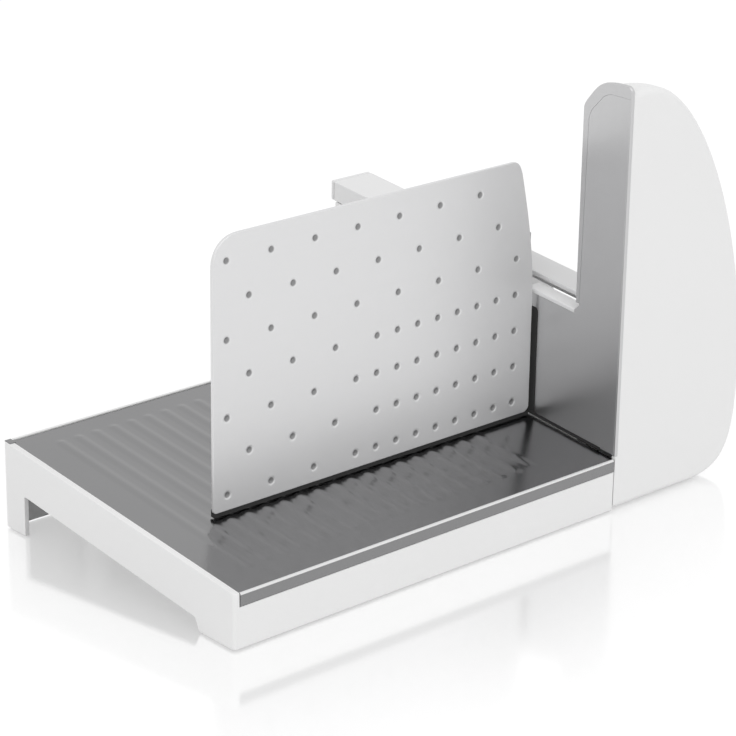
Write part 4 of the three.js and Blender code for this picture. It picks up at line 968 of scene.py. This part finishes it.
def makeKnob():
    x, z = tower["knob"]
    body = turnProfile("thicknessKnob", "y", (x, knob["base"], z), knob["profile"], knob["sides"])
    angles = [2 * math.pi * (i + 0.5) / knob["grips"] for i in range(knob["grips"])]
    radius = knob["gripAt"]
    spots = [(x + radius * math.sin(angle), z + radius * math.cos(angle)) for angle in angles]
    grips = addHoles("y", spots, *knob["grip"])
    for grip in grips:
        roundEdges(grip, None, *knob["gripRound"], lambda at: at[1] < knob["grip"][0] + 0.1)
    cutWith(body, gather("grips", grips))
    pointer = addBlock("pointer", *[(x + across, y, z + up) for across, y, up in knob["pointer"]])
    turnAbout(pointer, x, z, -dial["turn"] / 2)
    cutWith(body, pointer)
    finishPiece(body, "thickness_knob", "knob", "dark_plastic")


# Buttons: a dished cap with a flange that holds it behind the tower's wall
button = {"keys": ("power", "safety"), "slots": ("dark_plastic", "white_plastic"), "base": 31.1,
          "profile": [(0, 0), (9.4, 0), (9.4, 2), (8, 2), (8, 7.5), (7.75, 8.15), (7.1, 8.5),
                      (5.6, 8.35), (3, 7.9), (0, 7.75)], "sides": 56}
# Springs behind the buttons: a wire ring carried round and along, pressed flat by the button
coil = {"start": 23.3, "pitch": 1.6875, "radius": 3.6, "wire": 0.5, "wireSides": 12, "turns": 4,
        "steps": 28, "keep": 0.68}


def makeSpring(x, z):
    wire = coil["wire"] * mm
    bpy.ops.mesh.primitive_circle_add(vertices=coil["wireSides"], radius=wire,
                                      rotation=(math.pi / 2, 0, 0), location=(coil["radius"] * mm, 0, wire))
    spring = bpy.context.object
    settle(spring)
    applyModifier(spring, "SCREW", axis="Z", angle=2 * math.pi, screw_offset=coil["pitch"] * mm,
                  iterations=coil["turns"], steps=coil["steps"], render_steps=coil["steps"],
                  use_merge_vertices=False)
    pick(spring, "EDGE", lambda e: e.is_boundary)
    bpy.ops.mesh.edge_face_add()
    pointOutwards()
    spring.rotation_euler = (-math.pi / 2, 0, 0)
    spring.location = spot(x, coil["start"], z)
    settle(spring)
    return spring


def makeButtons():
    for (x, z), key, slotName in zip(tower["buttons"], button["keys"], button["slots"]):
        cap = turnProfile(key, "y", (x, button["base"], z), button["profile"], button["sides"])
        finishPiece(cap, key + "_button", key + "_key", slotName)
    for (x, z), key in zip(tower["buttons"], button["keys"]):
        spring = makeSpring(x, z)
        finishPiece(spring, key + "_spring", "base", "inner_steel")
        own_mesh(spring)


# Mains inlet and rubber feet
inlet = {"at": (312, 235, 24), "sides": 48,
         "profile": [(0, 0), (7, 0), (7, 12.3), (10, 12.3), (10, 14.1), (9.2, 15), (5.4, 15), (4.5, 14.6),
                     (4, 13.9), (4, 6), (1.3, 6), (1.3, 11), (0.7, 11.8), (0, 11.8)]}
foot = {"spots": [(50, 17), (50, 184), (327, 53), (327, 230)], "sides": 40,
        "profile": [(0, 0.5), (2.4, 0.5), (2.9, 0), (6.1, 0), (6.8, 0.5), (7, 1.1), (7, 2.4), (0, 2.4)]}


def makeInletAndFeet():
    socket = turnProfile("powerInlet", "y", inlet["at"], inlet["profile"], inlet["sides"])
    finishPiece(socket, "power_inlet", "base", "dark_plastic")
    for i, (x, y) in enumerate(foot["spots"], 1):
        pad = turnProfile("rubberFoot", "z", (x, y, 0), foot["profile"], foot["sides"])
        finishPiece(pad, f"rubber_foot_{i}", "base", "rubber")


# Covers seen from below
under = {"cover": ((281.5, 39.5, 1), (341.1, 244.1, 3.4)), "coverRound": (2.5, 5), "coverEdge": (0.5, 2),
         "slots": {"low": (292, 150, -3), "high": (331, 153.4, 8), "axis": 2, "count": 7, "pitch": 9,
                   "rounding": (1.6, 5)},
         "chassis": ((228, 42, 4), (336, 196, 6)), "chassisRound": (5, 6), "chassisEdge": (0.3, 2),
         "lightening": [(262, 80), (262, 119), (262, 158)], "hole": (1, 9), "lighteningHole": (9, 48)}


def makeUnderside():
    cover, sheet = addBlocks(under, "cover", "chassis")
    roundEdges(cover, 2, *under["coverRound"])
    soften(cover, *under["coverEdge"])
    cutWith(cover, gather("slots", makeSlots(**under["slots"])))
    finishPiece(cover, "bottom_cover", "base", "dark_plastic")
    roundEdges(sheet, 2, *under["chassisRound"])
    soften(sheet, *under["chassisEdge"])
    cutWith(sheet, *addHoles("z", under["lightening"], *under["hole"], *under["lighteningHole"]),
            *addHoles("z", base["screws"], *under["hole"]))
    finishPiece(sheet, "chassis_plate", "base", "inner_steel")


makeBaseShell()
print("base shell made")
makeFoodTray()
print("food tray made")
makeTowerCover()
makeTowerBack()
makeTowerTrim()
print("tower made")
makeStopPlate()
makeRail()
print("stop plate and rail made")
makeDimpledPlate()
makeShadeStrips()
makeCarriage()
print("carriage made")
makeSideHousing()
makeSideCover()
makeInletAndFeet()
makeUnderside()
print("motor housing made")
makeBlade()
makeKnob()
makeButtons()
for screwSet in screwSets:
    placeScrews(*screwSet)
print("blade, knob, buttons and screws made")


# Floor, light and background. A lamp is name, place, size and power.
studio = {"floorSize": 16, "floorColour": (0.86, 0.86, 0.86, 1), "floorRoughness": 0.7, "floorGlow": 0.8,
          "shadowColour": (0.27, 0.27, 0.27, 1), "polishColour": (1, 1, 1, 1), "polish": 0.4,
          "polishRoughness": 0.12, "footprint": (0.189, 0.125, 0), "fadeOver": 0.2, "world": 0.79,
          "aim": (0, 0, 0.1),
          "lamps": [("keyLight", (0.0, -1.9, 1.9), 1.6, 12.0), ("fillLight", (-1.6, -0.5, 1.3), 1.6, 5.0)]}


# 1 for rays that show the background itself, 0 for those that light the object
def seenRays(tree):
    rays = addNode(tree, "LightPath")
    seen = rays["Is Camera Ray"]
    for label in ("Is Glossy Ray", "Is Transmission Ray"):
        seen = addMath(tree, "MAXIMUM", seen, rays[label])
    return seen


# The table's polish fades out with the distance from the slicer's footprint
def polishNearObject(tree):
    at = addNode(tree, "TexCoord")["Object"]
    for operation, other in (("ABSOLUTE", (0, 0, 0)), ("SUBTRACT", studio["footprint"]),
                             ("MAXIMUM", (0, 0, 0))):
        at = addNode(tree, "VectorMath", {0: at, 1: other}, operation=operation)["Vector"]
    away = addNode(tree, "VectorMath", {0: at}, operation="LENGTH")["Value"]
    fade = {"Value": away, "From Max": studio["fadeOver"], "To Min": studio["polish"], "To Max": 0}
    return addNode(tree, "MapRange", fade, interpolation_type="SMOOTHSTEP")[0]


def addFloor():
    bpy.ops.mesh.primitive_plane_add(size=studio["floorSize"], location=(0, 0, 0))
    floor = bpy.context.object
    floor.name = "studioFloor"
    editAll(floor)
    bpy.ops.mesh.subdivide(number_cuts=3)
    done()
    material, tree, plain = newMaterial("studioFloor")
    feed(tree, plain, {"Base Color": studio["floorColour"], "Roughness": studio["floorRoughness"]})
    glow = addNode(tree, "Emission", {"Strength": studio["floorGlow"]})[0]
    shaded = addNode(tree, "BsdfDiffuse", {"Color": studio["shadowColour"]})[0]
    lit = addNode(tree, "AddShader", {0: glow, 1: shaded})[0]
    mirror = {"Roughness": studio["polishRoughness"], "Color": studio["polishColour"]}
    polish = addNode(tree, "BsdfAnisotropic", mirror)[0]
    shown = addNode(tree, "MixShader", {0: polishNearObject(tree), 1: lit, 2: polish})[0]
    whole = addNode(tree, "MixShader", {0: seenRays(tree), 1: plain.outputs[0], 2: shown})[0]
    feed(tree, tree.nodes["Material Output"], {"Surface": whole})
    floor.data.materials.append(material)


addFloor()
world = bpy.data.worlds.new("studioWorld")
bpy.context.scene.world = world
world.use_nodes = True
sky = world.node_tree
level = addNode(sky, "MapRange", {"Value": seenRays(sky), "To Min": studio["world"], "To Max": 1})[0]
feed(sky, sky.nodes["Background"], {"Color": (1, 1, 1, 1), "Strength": level})
for name, place, size, power in studio["lamps"]:
    bpy.ops.object.light_add(type="AREA", location=place)
    lamp = bpy.context.object
    lamp.name = name
    lamp.data.energy = power
    lamp.data.size = size
    way = Vector(studio["aim"]) - Vector(place)
    lamp.rotation_euler = way.to_track_quat("-Z", "Y").to_euler()
bpy.context.scene.view_settings.view_transform = "Standard"
print("studio set")
